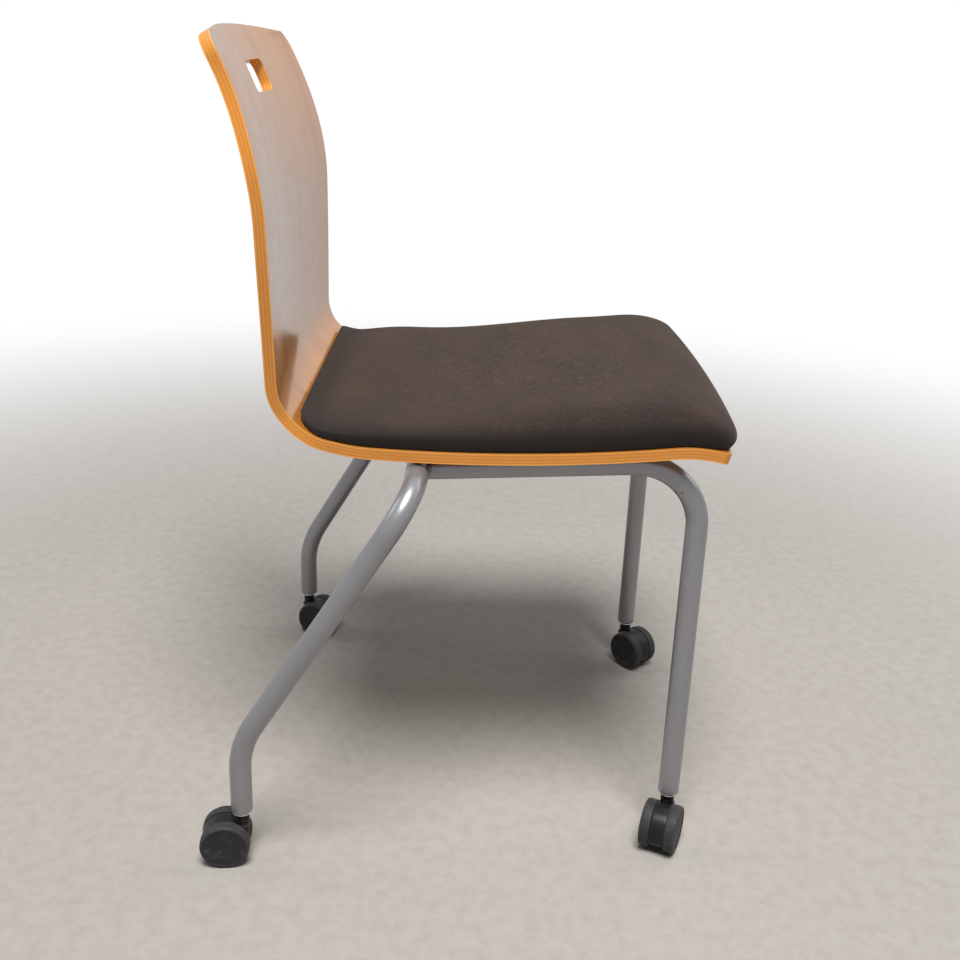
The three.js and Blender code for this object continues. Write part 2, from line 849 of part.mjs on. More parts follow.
function capProfile() {
  const half = blockLength / 2;
  const bottom = pivot.z - capDepth;
  const shape = new THREE.Shape();
  shape.moveTo(pivot.y - half, pivot.z);
  shape.lineTo(pivot.y - half, bottom + capCorner);
  shape.lineTo(pivot.y - half + capCorner, bottom);
  shape.lineTo(pivot.y + half - capCorner, bottom);
  shape.lineTo(pivot.y + half, bottom + capCorner);
  shape.lineTo(pivot.y + half, pivot.z);
  return shape;
}

function makePivotBlocks() {
  const bore = pivotTubeDiameter + 2 * jointGap;
  const drillHole = blockScrewDiameter + 2 * holeGap;
  const low = pivot.z - capDepth - cutOverrun;
  for (const [side, word] of [[-1, "right"], [1, "left"]]) {
    const x = side * blockHalfSpacing;
    const reach = blockWidth / 2 + cutOverrun;
    const boreCutter = rod(
      new THREE.Vector3(x - reach, pivot.y, pivot.z),
      new THREE.Vector3(x + reach, pivot.y, pivot.z),
      bore,
      pivotTubeSides,
    );
    const drills = blockScrewPlaces
      .filter((place) => place.x === x)
      .map(({ y }) => uprightRod(x, y, low, faceHeightAtY(y, 0), drillHole, screwSides));
    const block = extrudedAlongX(blockProfile(), blockWidth).translate(x, 0, 0);
    const cap = extrudedAlongX(capProfile(), blockWidth).translate(x, 0, 0);
    addMesh(chair, `${word}_pivot_block`, cut(block, boreCutter, ...drills), blockPlastic);
    addMesh(chair, `${word}_pivot_cap`, cut(cap, boreCutter, ...drills), blockPlastic);
  }
}

// A pan-head screw standing on its head, its head face at height zero
function screwGeometry(diameter, headDiameter, headHeight, length) {
  const headRadius = headDiameter / 2;
  return turned(
    [
      [0, -headHeight],
      [headRadius * headCrownShare, -headHeight],
      [headRadius, -headHeight / 2],
      [headRadius, 0],
      [diameter / 2, 0],
      [diameter / 2, length],
      [0, length],
    ],
    screwSides,
  );
}

function makeScrews() {
  const capBottom = pivot.z - capDepth;
  for (const { x, y, name } of blockScrewPlaces) {
    const insertTop = faceHeightAtY(y, 0) - (plyThickness - insertLength) / 2;
    const length = insertTop - capBottom;
    const screw = screwGeometry(
      blockScrewDiameter,
      blockScrewHeadDiameter,
      blockScrewHeadHeight,
      length,
    );
    addMesh(chair, `pivot_screw_${name}`, screw, zincSteel).position.set(x, y, capBottom);

    const outer = insertDiameter / 2;
    const inner = blockScrewDiameter / 2 + holeGap;
    const insert = turned(
      [
        [inner, 0],
        [outer, 0],
        [outer, insertLength],
        [inner, insertLength],
        [inner, 0],
      ],
      smallSides,
    );
    const seat = insertTop - insertLength;
    addMesh(chair, `shell_insert_${name}`, insert, zincSteel).position.set(x, y, seat);
  }

  for (const { x, y, name } of boardScrewPlaces) {
    const seat = faceHeightAtY(y, -plyThickness) - seatGap;
    const tip = faceHeightAtY(y, boardThickness);
    const screw = screwGeometry(
      boardScrewDiameter,
      boardScrewHeadDiameter,
      boardScrewHeadHeight,
      tip - seat,
    );
    addMesh(chair, `cushion_screw_${name}`, screw, zincSteel).position.set(x, y, seat);
  }
}

// Rubber saddles that the shell rests on

function makeSaddles() {
  const inner = tubeRadius + seatGap;
  const start = (90 - saddleHalfAngle) * degrees;
  const end = (90 + saddleHalfAngle) * degrees;
  const shape = new THREE.Shape();
  shape.absarc(0, 0, saddleRadius, start, end, false);
  shape.absarc(0, 0, inner, end, start, true);
  for (const [side, word] of [[-1, "right"], [1, "left"]]) {
    const saddle = extrudedAlongX(shape, saddleLength);
    const mesh = addMesh(chair, `${word}_rest_saddle`, saddle, softRubber);
    mesh.position.set(side * saddleHalfSpacing, hoopTopSetback, hoopTopHeight);
  }
}

// Casters. Each stands at its leg's end, its wheels trailing along local +X.

const wheelRadius = wheelDiameter / 2;

// Wheels are many-sided, and scaled out so that a flat side rests on the floor
function wheelGeometry(facing) {
  const flatness = Math.cos(Math.PI / wheelSides);
  const tread = wheelRadius / flatness;
  const step = (wheelRadius - wheelStepHeight) / flatness;
  const bore = axleDiameter / 2 + jointGap;
  const geometry = turned(
    [
      [0, wheelInnerOffset + wheelBoreDepth],
      [bore, wheelInnerOffset + wheelBoreDepth],
      [bore, wheelInnerOffset],
      [step, wheelInnerOffset],
      [step, wheelStepOffset],
      [tread, wheelStepOffset],
      [tread, wheelOuterOffset - wheelRound],
      [tread - wheelRound, wheelOuterOffset],
      [0, wheelOuterOffset],
    ],
    wheelSides,
    Math.PI / wheelSides,
  );
  geometry.rotateX(facing * 90 * degrees);
  return geometry;
}

function hoodOutline() {
  const outer = wheelRadius - hoodRecess;
  const tail = -hoodTailAngle * degrees;
  const shoulderX = casterTrail - Math.sqrt(outer ** 2 - (hoodShoulderHeight - wheelRadius) ** 2);
  const shoulderAngle = Math.atan2(hoodShoulderHeight - wheelRadius, shoulderX - casterTrail);
  const shape = new THREE.Shape();
  shape.moveTo(-hoodFrontReach, hoodFrontFootHeight);
  const bossStart = -140 * degrees;
  const bossEnd = -60 * degrees;
  shape.absarc(casterTrail, wheelRadius, hoodBossRadius, bossStart, bossEnd, false);
  shape.absarc(casterTrail, wheelRadius, outer, tail, shoulderAngle, false);
  shape.lineTo(-hoodFrontReach, hoodShoulderHeight);
  return shape;
}

// The hood spans the gap between the wheels: a web on the axle under an arched fender. Its neck
// runs down in front of the wheels as a rounded wall.
function hoodGeometry() {
  const body = new THREE.ExtrudeGeometry(hoodOutline(), {
    depth: hoodWidth,
    bevelEnabled: false,
    curveSegments: 7,
  });
  body.rotateX(90 * degrees);
  body.translate(0, hoodWidth / 2, 0);

  const fenderInner = 2 * (wheelRadius - hoodRecess - hoodWall);
  const hub = (y) => new THREE.Vector3(casterTrail, y, wheelRadius);
  const pockets = [-1, 1].map((side) => {
    const low = (side * hoodWebThickness) / 2;
    const high = side * (hoodWidth / 2 + cutOverrun);
    return rod(hub(low), hub(high), fenderInner, wheelSides);
  });
  const boreReach = hoodWidth;
  const axleHole = rod(hub(-boreReach), hub(boreReach), axleDiameter + 2 * holeGap, smallSides);

  const neck = uprightRod(0, 0, hoodFrontFootHeight, neckTopHeight, neckDiameter, smallSides);
  const fenderCutter = rod(hub(-boreReach), hub(boreReach), fenderInner, wheelSides);
  const stemHole = uprightRod(
    0,
    0,
    stemSeatHeight - jointGap,
    neckTopHeight + cutOverrun,
    stemDiameter + 2 * jointGap,
    smallSides,
  );
  const solid = solidOf(body)
    .subtract(solidOf(pockets[0]))
    .subtract(solidOf(pockets[1]))
    .add(solidOf(neck).subtract(solidOf(fenderCutter)))
    .subtract(solidOf(stemHole))
    .subtract(solidOf(axleHole));
  return geometryOf(solid);
}

function makeCaster(place, x, y, swivel) {
  const caster = new THREE.Group();
  caster.position.set(x, y, 0);
  caster.rotation.z = swivel * degrees;
  chair.add(caster);

  const flangeBottom = legEndHeight - socketFlangeThickness;
  const socketBore = stemDiameter / 2 + jointGap;
  const socket = turned(
    [
      [socketBore, flangeBottom],
      [socketFlangeDiameter / 2, flangeBottom],
      [socketFlangeDiameter / 2, legEndHeight],
      [socketDiameter / 2, legEndHeight],
      [socketDiameter / 2, legEndHeight + socketRise],
      [socketBore, legEndHeight + socketRise],
      [socketBore, flangeBottom],
    ],
    smallSides,
  );
  addMesh(caster, `${place}_caster_socket`, socket, zincSteel);

  const chamfer = stemDiameter / 8;
  const stem = turned(
    [
      [0, stemSeatHeight],
      [stemDiameter / 2, stemSeatHeight],
      [stemDiameter / 2, legEndHeight + stemRise - chamfer],
      [stemDiameter / 2 - chamfer, legEndHeight + stemRise],
      [0, legEndHeight + stemRise],
    ],
    smallSides,
  );
  addMesh(caster, `${place}_caster_stem`, stem, zincSteel);
  addMesh(caster, `${place}_caster_hood`, hoodGeometry(), casterPlastic);

  const axleReach = wheelInnerOffset + wheelBoreDepth - jointGap;
  const axle = rod(
    new THREE.Vector3(0, -axleReach, 0),
    new THREE.Vector3(0, axleReach, 0),
    axleDiameter,
    smallSides,
  );
  addMesh(caster, `${place}_caster_axle`, axle, zincSteel).position.set(casterTrail, 0, wheelRadius);
  for (const [facing, word] of [[-1, "a"], [1, "b"]]) {
    const wheel = addMesh(caster, `${place}_wheel_${word}`, wheelGeometry(facing), casterTread);
    wheel.position.set(casterTrail, 0, wheelRadius);
  }
}

makeFrame();
makeShell();
makeCushion();
makePivotBlocks();
makeScrews();
makeSaddles();
makeCaster("rear_right", -rearFootHalfTrack, rearFootSetback, rearRightSwivel);
makeCaster("rear_left", rearFootHalfTrack, rearFootSetback, rearLeftSwivel);
makeCaster("front_right", -frontFootHalfTrack, -frontFootReach, frontRightSwivel);
makeCaster("front_left", frontFootHalfTrack, -frontFootReach, frontLeftSwivel);

// The whole chair moves so that its footprint's middle is the origin
const extent = new THREE.Box3().setFromObject(chair, true);
const middle = extent.getCenter(new THREE.Vector3());
chair.position.set(-middle.x, -middle.y, -extent.min.z);

const part = new THREE.Group();
part.add(chair);
part.updateMatrixWorld(true);

export default part;
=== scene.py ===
# Looks for a nesting chair: bent plywood shell, seat cushion, steel tube frame, twin-wheel casters.
import math
import bpy
import bmesh
import numpy as np
from mathutils import Matrix, Vector


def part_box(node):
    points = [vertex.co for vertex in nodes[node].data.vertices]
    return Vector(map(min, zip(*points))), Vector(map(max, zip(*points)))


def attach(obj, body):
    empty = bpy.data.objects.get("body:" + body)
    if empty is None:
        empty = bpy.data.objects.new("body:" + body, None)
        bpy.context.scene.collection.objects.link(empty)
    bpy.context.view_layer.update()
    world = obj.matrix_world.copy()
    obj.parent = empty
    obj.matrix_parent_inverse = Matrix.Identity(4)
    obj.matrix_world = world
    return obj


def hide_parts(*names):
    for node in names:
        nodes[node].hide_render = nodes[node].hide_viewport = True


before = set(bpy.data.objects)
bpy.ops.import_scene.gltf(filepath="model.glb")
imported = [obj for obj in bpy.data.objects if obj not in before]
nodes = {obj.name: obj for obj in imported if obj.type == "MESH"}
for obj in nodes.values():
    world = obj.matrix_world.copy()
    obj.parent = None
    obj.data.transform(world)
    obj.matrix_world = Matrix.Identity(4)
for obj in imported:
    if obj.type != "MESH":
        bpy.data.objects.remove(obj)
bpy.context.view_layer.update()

mm = 0.001
crossLow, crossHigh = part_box("front_cross_tube")
pivot = dict(y=(crossLow.y + crossHigh.y) / 2 / mm, z=(crossLow.z + crossHigh.z) / 2 / mm)
crossFront = 205.0  # how far the cross tube lies before the chair's own Y zero
setback = pivot["y"] + crossFront  # how far the chair's own Y zero lies behind the frame's


# Mesh helpers: sizes are in mm and in the chair's own frame until addPiece

def gridFaces(rows, columns, closeRows=False, closeColumns=False):
    # each face joins four neighbours of a rows x columns grid; a closed side joins last to first
    r = np.arange(rows if closeRows else rows - 1)[:, None]
    c = np.arange(columns if closeColumns else columns - 1)[None, :]
    nextRow, nextColumn = (r + 1) % rows, (c + 1) % columns
    corners = [r * columns + c, r * columns + nextColumn,
               nextRow * columns + nextColumn, nextRow * columns + c]
    return np.stack(np.broadcast_arrays(*corners), -1).reshape(-1, 4)


def ringAngles(count):
    return np.linspace(0, 2 * np.pi, count, endpoint=False)


def squaredOff(wave, power):
    # a sine or cosine raised to a low power, its sign kept, turns a round into a soft square
    return np.sign(wave) * np.abs(wave) ** power


def unit(vector):
    return vector / np.linalg.norm(vector)


def unitRows(vectors):
    return vectors / np.linalg.norm(vectors, axis=1)[:, None]


def joined(parts):
    # puts several (points, faces) pairs into one
    points, faces, start = [], [], 0
    for partPoints, partFaces in parts:
        points.append(partPoints.reshape(-1, 3))
        faces.append(partFaces + start)
        start += len(points[-1])
    return np.concatenate(points), np.concatenate(faces)


def sealMesh(mesh, gap=2e-6):
    # merges doubled points, so that poles and seams close, and turns all faces outward
    work = bmesh.new()
    work.from_mesh(mesh)
    bmesh.ops.remove_doubles(work, verts=work.verts, dist=gap)
    bmesh.ops.dissolve_degenerate(work, edges=work.edges, dist=gap / 2)
    bmesh.ops.recalc_face_normals(work, faces=work.faces)
    work.to_mesh(mesh)
    work.free()


def smoothMesh(mesh, angle):
    mesh.shade_smooth()
    mesh.set_sharp_from_angle(angle=math.radians(angle))


def linked(name, data):
    made = bpy.data.objects.new(name, data)
    bpy.context.scene.collection.objects.link(made)
    return made


def settle(name, mesh, body, replaced):
    piece = linked(name, mesh)
    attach(piece, body)
    if replaced:
        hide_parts(*replaced)
    return piece


def addPiece(name, points, faces, finish, body, slot, replaced=(), angle=40, seal=True):
    mesh = bpy.data.meshes.new(name)
    placed = (points.reshape(-1, 3) + [0, setback, 0]) * mm
    mesh.from_pydata(placed.tolist(), [], faces.tolist())
    mesh.materials.append(finish)
    if seal:
        sealMesh(mesh)
    smoothMesh(mesh, angle)
    return settle(name, mesh, body, replaced)


def easeEdges(piece, width, segments, angle):
    ease = piece.modifiers.new("easedEdges", "BEVEL")
    ease.width, ease.segments = width * mm, segments
    ease.limit_method, ease.angle_limit = "ANGLE", math.radians(angle)
    ease.harden_normals = True
    return ease


def easedCopy(name, source, finish, body, width):
    # a CAD node's own shape with its corners eased
    mesh = nodes[source].data.copy()
    mesh.name = name
    repaint(mesh, finish)
    sealMesh(mesh, 1e-5)
    smoothMesh(mesh, 30)
    easeEdges(settle(name, mesh, body, (source,)), width, segments=2, angle=32)


def repaint(mesh, finish):
    mesh.materials.clear()
    mesh.materials.append(finish)


def perPoint(points, name):
    # x, y and z of one property for all points of a mesh
    values = np.zeros(len(points) * 3)
    points.foreach_get(name, values)
    return values.reshape(-1, 3)


def addMap(mesh, name, places):
    # a UV map from one place for each point
    corner = np.zeros(len(mesh.loops), np.int32)
    mesh.loops.foreach_get("vertex_index", corner)
    mesh.uv_layers.new(name=name).data.foreach_set("uv", places[corner].ravel())


def turnedSurface(profile, sides, hexagon=None):
    # a solid of revolution about Z: [radius, height] pairs carried round the axis. Rings listed in
    # hexagon take six flat sides instead: radius over cos of the angle to the nearest flat.
    profile = np.array(profile, float)
    angle = ringAngles(sides)[None, :]
    radius = np.repeat(profile[:, :1], sides, 1)
    if hexagon is not None:
        fromFlat = (angle + np.pi / 6) % (np.pi / 3) - np.pi / 6
        radius[hexagon] = radius[hexagon] / np.cos(fromFlat)
    height = np.repeat(profile[:, 1:], sides, 1)
    points = np.stack([radius * np.cos(angle), radius * np.sin(angle), height], -1)
    return points, gridFaces(len(profile), sides, closeColumns=True)


def rounded(corner, before, after, radius, steps=4):
    # points of a fillet at a profile corner: the corner's two tangent points, with a quadratic
    # curve through the corner between them
    corner, before, after = (np.array(p, float) for p in (corner, before, after))
    first = corner + unit(before - corner) * radius
    last = corner + unit(after - corner) * radius
    t = np.linspace(0, 1, steps + 1)[:, None]
    return ((1 - t) ** 2 * first + 2 * t * (1 - t) * corner + t ** 2 * last).tolist()


def softProfile(profile, radii):
    # rounds the inner corners of an open profile, each by its own radius
    out = [profile[0]]
    for before, corner, after, radius in zip(profile, profile[1:], profile[2:], radii[1:]):
        out += rounded(corner, before, after, radius) if radius > 0 else [corner]
    return out + [profile[-1]]


# Node helpers for finishes

def tone(red, green, blue):
    # an sRGB colour, 0 to 255, as linear RGBA
    share = np.array([red, green, blue]) / 255
    linear = np.where(share <= 0.04045, share / 12.92, ((share + 0.055) / 1.055) ** 2.4)
    return (*linear.tolist(), 1.0)


def newFinish(name, settings):
    finish = bpy.data.materials.new(name)
    finish.use_nodes = True
    shader = finish.node_tree.nodes["Principled BSDF"]
    for socket, value in settings.items():
        shader.inputs[socket].default_value = value
    return finish, finish.node_tree, shader


def node(tree, kind, inputs=None, **settings):
    made = tree.nodes.new(kind)
    for key, value in settings.items():
        setattr(made, key, value)
    for key, value in (inputs or {}).items():
        if isinstance(value, bpy.types.NodeSocket):
            tree.links.new(value, made.inputs[key])
        else:
            made.inputs[key].default_value = value
    return made


def sums(tree, operation, a, b=0.0, c=0.0):
    return node(tree, "ShaderNodeMath", {0: a, 1: b, 2: c}, operation=operation).outputs[0]


def spread(tree, share, low, high, fromLow=0.0, fromHigh=1.0):
    return node(tree, "ShaderNodeMapRange", {"Value": share, "From Min": fromLow,
                                             "From Max": fromHigh, "To Min": low,
                                             "To Max": high}).outputs[0]


def mix(tree, share, a, b):
    return node(tree, "ShaderNodeMix", {0: share, 6: a, 7: b}, data_type="RGBA").outputs[2]


def ramp(tree, share, stops):
    made = node(tree, "ShaderNodeValToRGB", {"Fac": share})
    band = made.color_ramp
    while len(band.elements) < len(stops):
        band.elements.new(0.5)
    for element, (position, colour) in zip(band.elements, stops):
        element.position, element.color = position, colour
    return made.outputs["Color"]


def noises(tree, table, uvMap=None):
    # a noise for each name, in Object coordinates or in a UV map in metres. A row gives the scale,
    # one for all directions or one for each, then the detail and the roughness.
    made = {}
    for name, (scale, detail, *roughness) in table.items():
        even = not isinstance(scale, tuple)
        if uvMap:
            source = node(tree, "ShaderNodeUVMap", uv_map=uvMap).outputs[0]
        else:
            source = node(tree, "ShaderNodeTexCoord").outputs["Object"]
        at = node(tree, "ShaderNodeMapping", {"Vector": source, "Scale": (1, 1, 1) if even else scale})
        made[name] = node(tree, "ShaderNodeTexNoise", {
            "Vector": at.outputs[0], "Scale": scale if even else 1, "Detail": detail,
            "Roughness": roughness[0] if roughness else 0.5}).outputs["Fac"]
    return made


def layered(tree, colour, masks, layers):
    # lays each layer's tone over the colour. Its share goes from the first number to the second
    # while its mask goes from the third to the fourth.
    for name, (*levels, over) in layers.items():
        colour = mix(tree, spread(tree, masks[name], *levels), colour, over)
    return colour


def split(tree, vector):
    return node(tree, "ShaderNodeSeparateXYZ", {"Vector": vector}).outputs


def mapHeight(tree, uvMap):
    return split(tree, node(tree, "ShaderNodeUVMap", uv_map=uvMap).outputs[0])["Y"]


def bump(tree, height, strength, distance, normal=None):
    inputs = {"Height": height, "Strength": strength, "Distance": distance}
    if normal is not None:
        inputs["Normal"] = normal
    return node(tree, "ShaderNodeBump", inputs).outputs[0]


def connect(tree, shader, **links):
    names = dict(colour="Base Color", roughness="Roughness", normal="Normal")
    for key, output in links.items():
        tree.links.new(output, shader.inputs[names[key]])


# Finishes: a look holds the shader's settings, the noises, and the layers as layered takes them

paintLook = dict(
    shader={"Metallic": 0.6, "Roughness": 0.38, "Coat Weight": 0.15, "Coat Roughness": 0.2},
    silver=tone(150, 150, 153), shade=tone(132, 132, 136),
    noises=dict(flake=(2600, 1), mottle=(14, 4), chip=(70, 2, 0.7), scratch=((160, 160, 18), 2, 0.8),
                skin=(420, 2)),
    layers=dict(flake=(0.0, 0.35, 0.35, 0.75, tone(186, 188, 193)),
                scratch=(0.0, 0.35, 0.70, 0.74, tone(98, 97, 98)),
                chip=(0.0, 1.0, 0.755, 0.77, tone(46, 42, 40))),
    rough=(0.27, 0.38), chipRough=0.3, skinBump=(0.12, 0.0002), chipBump=(0.5, 0.0003))


def silverPaint():
    # pale metallic paint: fine flakes, slow mottling, long fine scratches and a few dark chips
    look = paintLook
    finish, tree, shader = newFinish("silverFramePaint", look["shader"])
    marks = noises(tree, look["noises"])
    base = mix(tree, marks["mottle"], look["shade"], look["silver"])
    chips = spread(tree, marks["chip"], *look["layers"]["chip"][:4])
    rough = sums(tree, "MULTIPLY_ADD", chips, look["chipRough"],
                 spread(tree, marks["mottle"], *look["rough"]))
    skin = bump(tree, marks["skin"], *look["skinBump"])
    connect(tree, shader, colour=layered(tree, base, marks, look["layers"]), roughness=rough,
            normal=bump(tree, sums(tree, "SUBTRACT", 1.0, chips), *look["chipBump"], skin))
    return finish


woodTones = dict(pale=tone(194, 130, 56), honey=tone(184, 114, 40), deep=tone(166, 101, 34))
woodLook = dict(
    shader={"Coat Weight": 1.0, "Coat Roughness": 0.13, "Coat IOR": 1.6, "Roughness": 0.32},
    bands=[(0.34, woodTones["deep"]), (0.5, woodTones["pale"]), (0.66, woodTones["honey"])],
    noises=dict(band=((26, 1.6, 1), 3, 0.55), streak=((300, 5.5, 1), 4, 0.6), pore=((1500, 85, 1), 1),
                cloud=((7, 5, 1), 2), scuff=((9, 60, 1), 4, 0.7)),
    layers=dict(streak=(0.0, 0.55, 0.42, 0.72, woodTones["honey"]),
                cloud=(0.0, 0.3, 0.4, 0.7, woodTones["deep"]),
                pore=(0.0, 0.2, 0.62, 0.74, tone(160, 92, 36))),
    rough=(0.27, 0.42, 0.35, 0.75), poreHeight=-0.08, streakHeight=0.4, bump=(0.12, 0.0002))


def shellFace():
    # lacquered veneer: broad bands and fine streaks along the shell, with short dark pores
    look = woodLook
    finish, tree, shader = newFinish("lacqueredVeneer", look["shader"])
    marks = noises(tree, look["noises"], "grain")
    pores = spread(tree, marks["pore"], *look["layers"]["pore"][:4])
    height = sums(tree, "MULTIPLY_ADD", pores, look["poreHeight"],
                  sums(tree, "MULTIPLY", marks["streak"], look["streakHeight"]))
    connect(tree, shader, roughness=spread(tree, marks["scuff"], *look["rough"]),
            colour=layered(tree, ramp(tree, marks["band"], look["bands"]), marks, look["layers"]),
            normal=bump(tree, height, *look["bump"]))
    return finish


rust = tone(192, 114, 38)
edgeLook = dict(
    shader={"Coat Weight": 0.35, "Coat Roughness": 0.12, "Roughness": 0.38},
    plies=7, thickness=0.011, wander=0.3, longGrain=tone(216, 142, 54), endGrain=tone(208, 132, 46),
    glue=tone(160, 88, 30), glueLine=(0.0, 0.6, 0.45, 0.49), broken=(0.15, 1.0, 0.4, 0.62), faint=0.3,
    noises=dict(wander=((14, 0, 1), 2), broken=((45, 260, 1), 2), long=((60, 2600, 1), 3, 0.6),
                end=((1500, 1500, 1), 2, 0.6), patch=((9, 30, 1), 3)),
    longLayers=dict(long=(0.0, 0.5, 0.4, 0.7, tone(228, 156, 68))),
    endLayers=dict(end=(0.0, 0.5, 0.4, 0.7, rust)),
    # the last layer is a painted highlight: the outermost plies, at the eased corners, painted pale orange
    layers=dict(patch=(0.0, 0.3, 0.5, 0.75, rust), paintedOuterPlyHighlight=(0.0, 0.55, 2.4, 2.9, tone(240, 168, 84))),
    rough=(0.32, 0.5), glueHeight=-0.7, endHeight=0.3, bump=(0.25, 0.00025))


def shellEdge():
    # the plies' edges: layers alternate between long and end grain, the outermost ones painted paler as a
    # painted highlight along the eased corners, with a dark glue line between two; every second line is
    # faint, and all fade in and out along the run
    look = edgeLook
    finish, tree, shader = newFinish("plyEdges", look["shader"])
    marks = noises(tree, look["noises"], "plies")
    level = sums(tree, "MULTIPLY_ADD", mapHeight(tree, "plies"), look["plies"] / look["thickness"],
                 sums(tree, "MULTIPLY_ADD", marks["wander"], look["wander"], -look["wander"] / 2))
    odd, strong = (sums(tree, "PINGPONG", sums(tree, "FLOOR", place), 1.0)
                   for place in (level, sums(tree, "ADD", level, 0.5)))
    # the distance from the middle ply masks the painted highlight on the outermost plies
    fromLine, marks["paintedOuterPlyHighlight"] = (
        sums(tree, "ABSOLUTE", sums(tree, "SUBTRACT", place, middle))
        for place, middle in ((sums(tree, "FRACT", level), 0.5), (level, look["plies"] / 2)))
    line = sums(tree, "MULTIPLY", spread(tree, marks["broken"], *look["broken"]),
                spread(tree, fromLine, *look["glueLine"]))
    line = sums(tree, "MULTIPLY", line, spread(tree, strong, look["faint"], 1.0))
    colour = mix(tree, odd, layered(tree, look["longGrain"], marks, look["longLayers"]),
                 layered(tree, look["endGrain"], marks, look["endLayers"]))
    colour = mix(tree, line, layered(tree, colour, marks, look["layers"]), look["glue"])
    height = sums(tree, "MULTIPLY_ADD", line, look["glueHeight"],
                  sums(tree, "MULTIPLY", marks["end"], look["endHeight"]))
    connect(tree, shader, colour=colour, roughness=spread(tree, marks["end"], *look["rough"]),
            normal=bump(tree, height, *look["bump"]))
    return finish


clothLook = dict(
    shader={"Roughness": 0.95, "Sheen Weight": 0.5, "Sheen Roughness": 0.5,
            "Sheen Tint": tone(150, 134, 124), "Specular IOR Level": 0.2},
    dark=tone(32, 29, 28), pitch=0.0011, turned=(0.0, 1.0, 0.62, 0.76),
    noises=dict(fuzz=(900, 3, 0.7), slub=((60, 900, 300), 2, 0.6), nap=((330, 150, 420), 3, 0.75),
                cloud=((9, 17, 14), 5, 0.62), lint=(420, 1, 0.4), wave=((16, 16, 4), 2)),
    layers=dict(cloud=(0.1, 0.8, 0.36, 0.64, tone(57, 43, 35)),
                threads=(0.0, 0.42, -0.2, 1.0, tone(66, 57, 52)),
                slub=(0.0, 0.35, 0.55, 0.8, tone(40, 34, 31)),
                fuzz=(0.0, 0.5, 0.62, 0.8, tone(104, 88, 76))),
    raisedNap=(0.0, 0.62, 0.50, 0.70), inward=(0.3, 1.0, 0.035, 0.08), napTone=tone(92, 74, 63),
    topLayers=dict(nap=(0.45, 0.0, 0.30, 0.50, tone(32, 29, 28)),
                   lint=(0.0, 0.35, 0.83, 0.86, tone(150, 140, 130)),
                   # painted shade: the cushion's side, low on the climb, painted near black
                   side=(0.93, 0.0, 0.015, 0.032, tone(25, 22, 22))),
    paintedShadeWave=0.005, fuzzHeight=0.8, bump=(0.35, 0.0004))


def weave(tree, across, along):
    # a plain weave: over-and-under bumps, the product of two sine waves at the thread pitch
    turn = 2 * math.pi / clothLook["pitch"]
    return sums(tree, "MULTIPLY", *(sums(tree, "SINE", sums(tree, "MULTIPLY", place, turn))
                                    for place in (across, along)))


def cushionCloth():
    # woven wool cloth: warm brown clouds on charcoal, with threads from three sides blended by the
    # normal. The cushion's side, up to about 15 to 32 mm of climb, is painted near black as painted shade.
    look = clothLook
    finish, tree, shader = newFinish("brownWeave", look["shader"])
    marks = noises(tree, look["noises"])
    at = split(tree, node(tree, "ShaderNodeTexCoord").outputs["Object"])
    facing = split(tree, node(tree, "ShaderNodeVectorMath", {
        0: node(tree, "ShaderNodeNewGeometry").outputs["Normal"]}, operation="ABSOLUTE").outputs[0])
    threads = weave(tree, at["X"], at["Y"])
    for axis, across in (("X", "Y"), ("Y", "X")):
        turned = spread(tree, facing[axis], *look["turned"])
        rest = sums(tree, "MULTIPLY", sums(tree, "SUBTRACT", 1.0, turned), threads)
        threads = sums(tree, "ADD", rest,
                       sums(tree, "MULTIPLY", turned, weave(tree, at[across], at["Z"])))
    marks["threads"] = threads
    upward = mapHeight(tree, "climb")
    # mask of the painted shade on the cushion's side: the climb, with a faint wave
    marks["side"] = sums(tree, "MULTIPLY_ADD", marks["wave"], look["paintedShadeWave"], upward)
    raised = sums(tree, "MULTIPLY", spread(tree, marks["nap"], *look["raisedNap"]),
                  spread(tree, upward, *look["inward"]))
    colour = mix(tree, raised, layered(tree, look["dark"], marks, look["layers"]), look["napTone"])
    connect(tree, shader, colour=layered(tree, colour, marks, look["topLayers"]),
            normal=bump(tree, sums(tree, "MULTIPLY_ADD", marks["fuzz"], look["fuzzHeight"], threads),
                        *look["bump"]))
    return finish


def plastic(name, base, dust, dustLow=0.5, rough=(0.42, 0.6), scale=24):
    # moulded plastic: fine grain, soft scuffs, rubbed edges, and pale dust in patches
    finish, tree, shader = newFinish(name, {"Specular IOR Level": 0.22})
    marks = noises(tree, dict(patch=(scale, 5, 0.65), grain=(1400, 2), scuff=((220, 220, 40), 3, 0.7)))
    marks["rubbed"] = node(tree, "ShaderNodeNewGeometry").outputs["Pointiness"]
    layers = dict(patch=(0.0, 0.5, dustLow, 0.74, dust), scuff=(0.0, 0.35, 0.6, 0.8, dust),
                  rubbed=(0.0, 0.3, 0.505, 0.54, dust))
    connect(tree, shader, colour=layered(tree, base, marks, layers),
            roughness=spread(tree, marks["patch"], *rough), normal=bump(tree, marks["grain"], 0.18, 0.0001))
    return finish


def metal(name, base, shade, rough=(0.22, 0.4), stretch=(40, 40, 900)):
    # plated steel: fine turning marks and dull patches
    finish, tree, shader = newFinish(name, {"Metallic": 1.0})
    marks = noises(tree, dict(turning=(stretch, 3, 0.6), patch=(90, 3)))
    connect(tree, shader, colour=mix(tree, marks["patch"], shade, base),
            roughness=spread(tree, marks["patch"], rough[1], rough[0]),
            normal=bump(tree, marks["turning"], 0.15, 0.0001))
    return finish


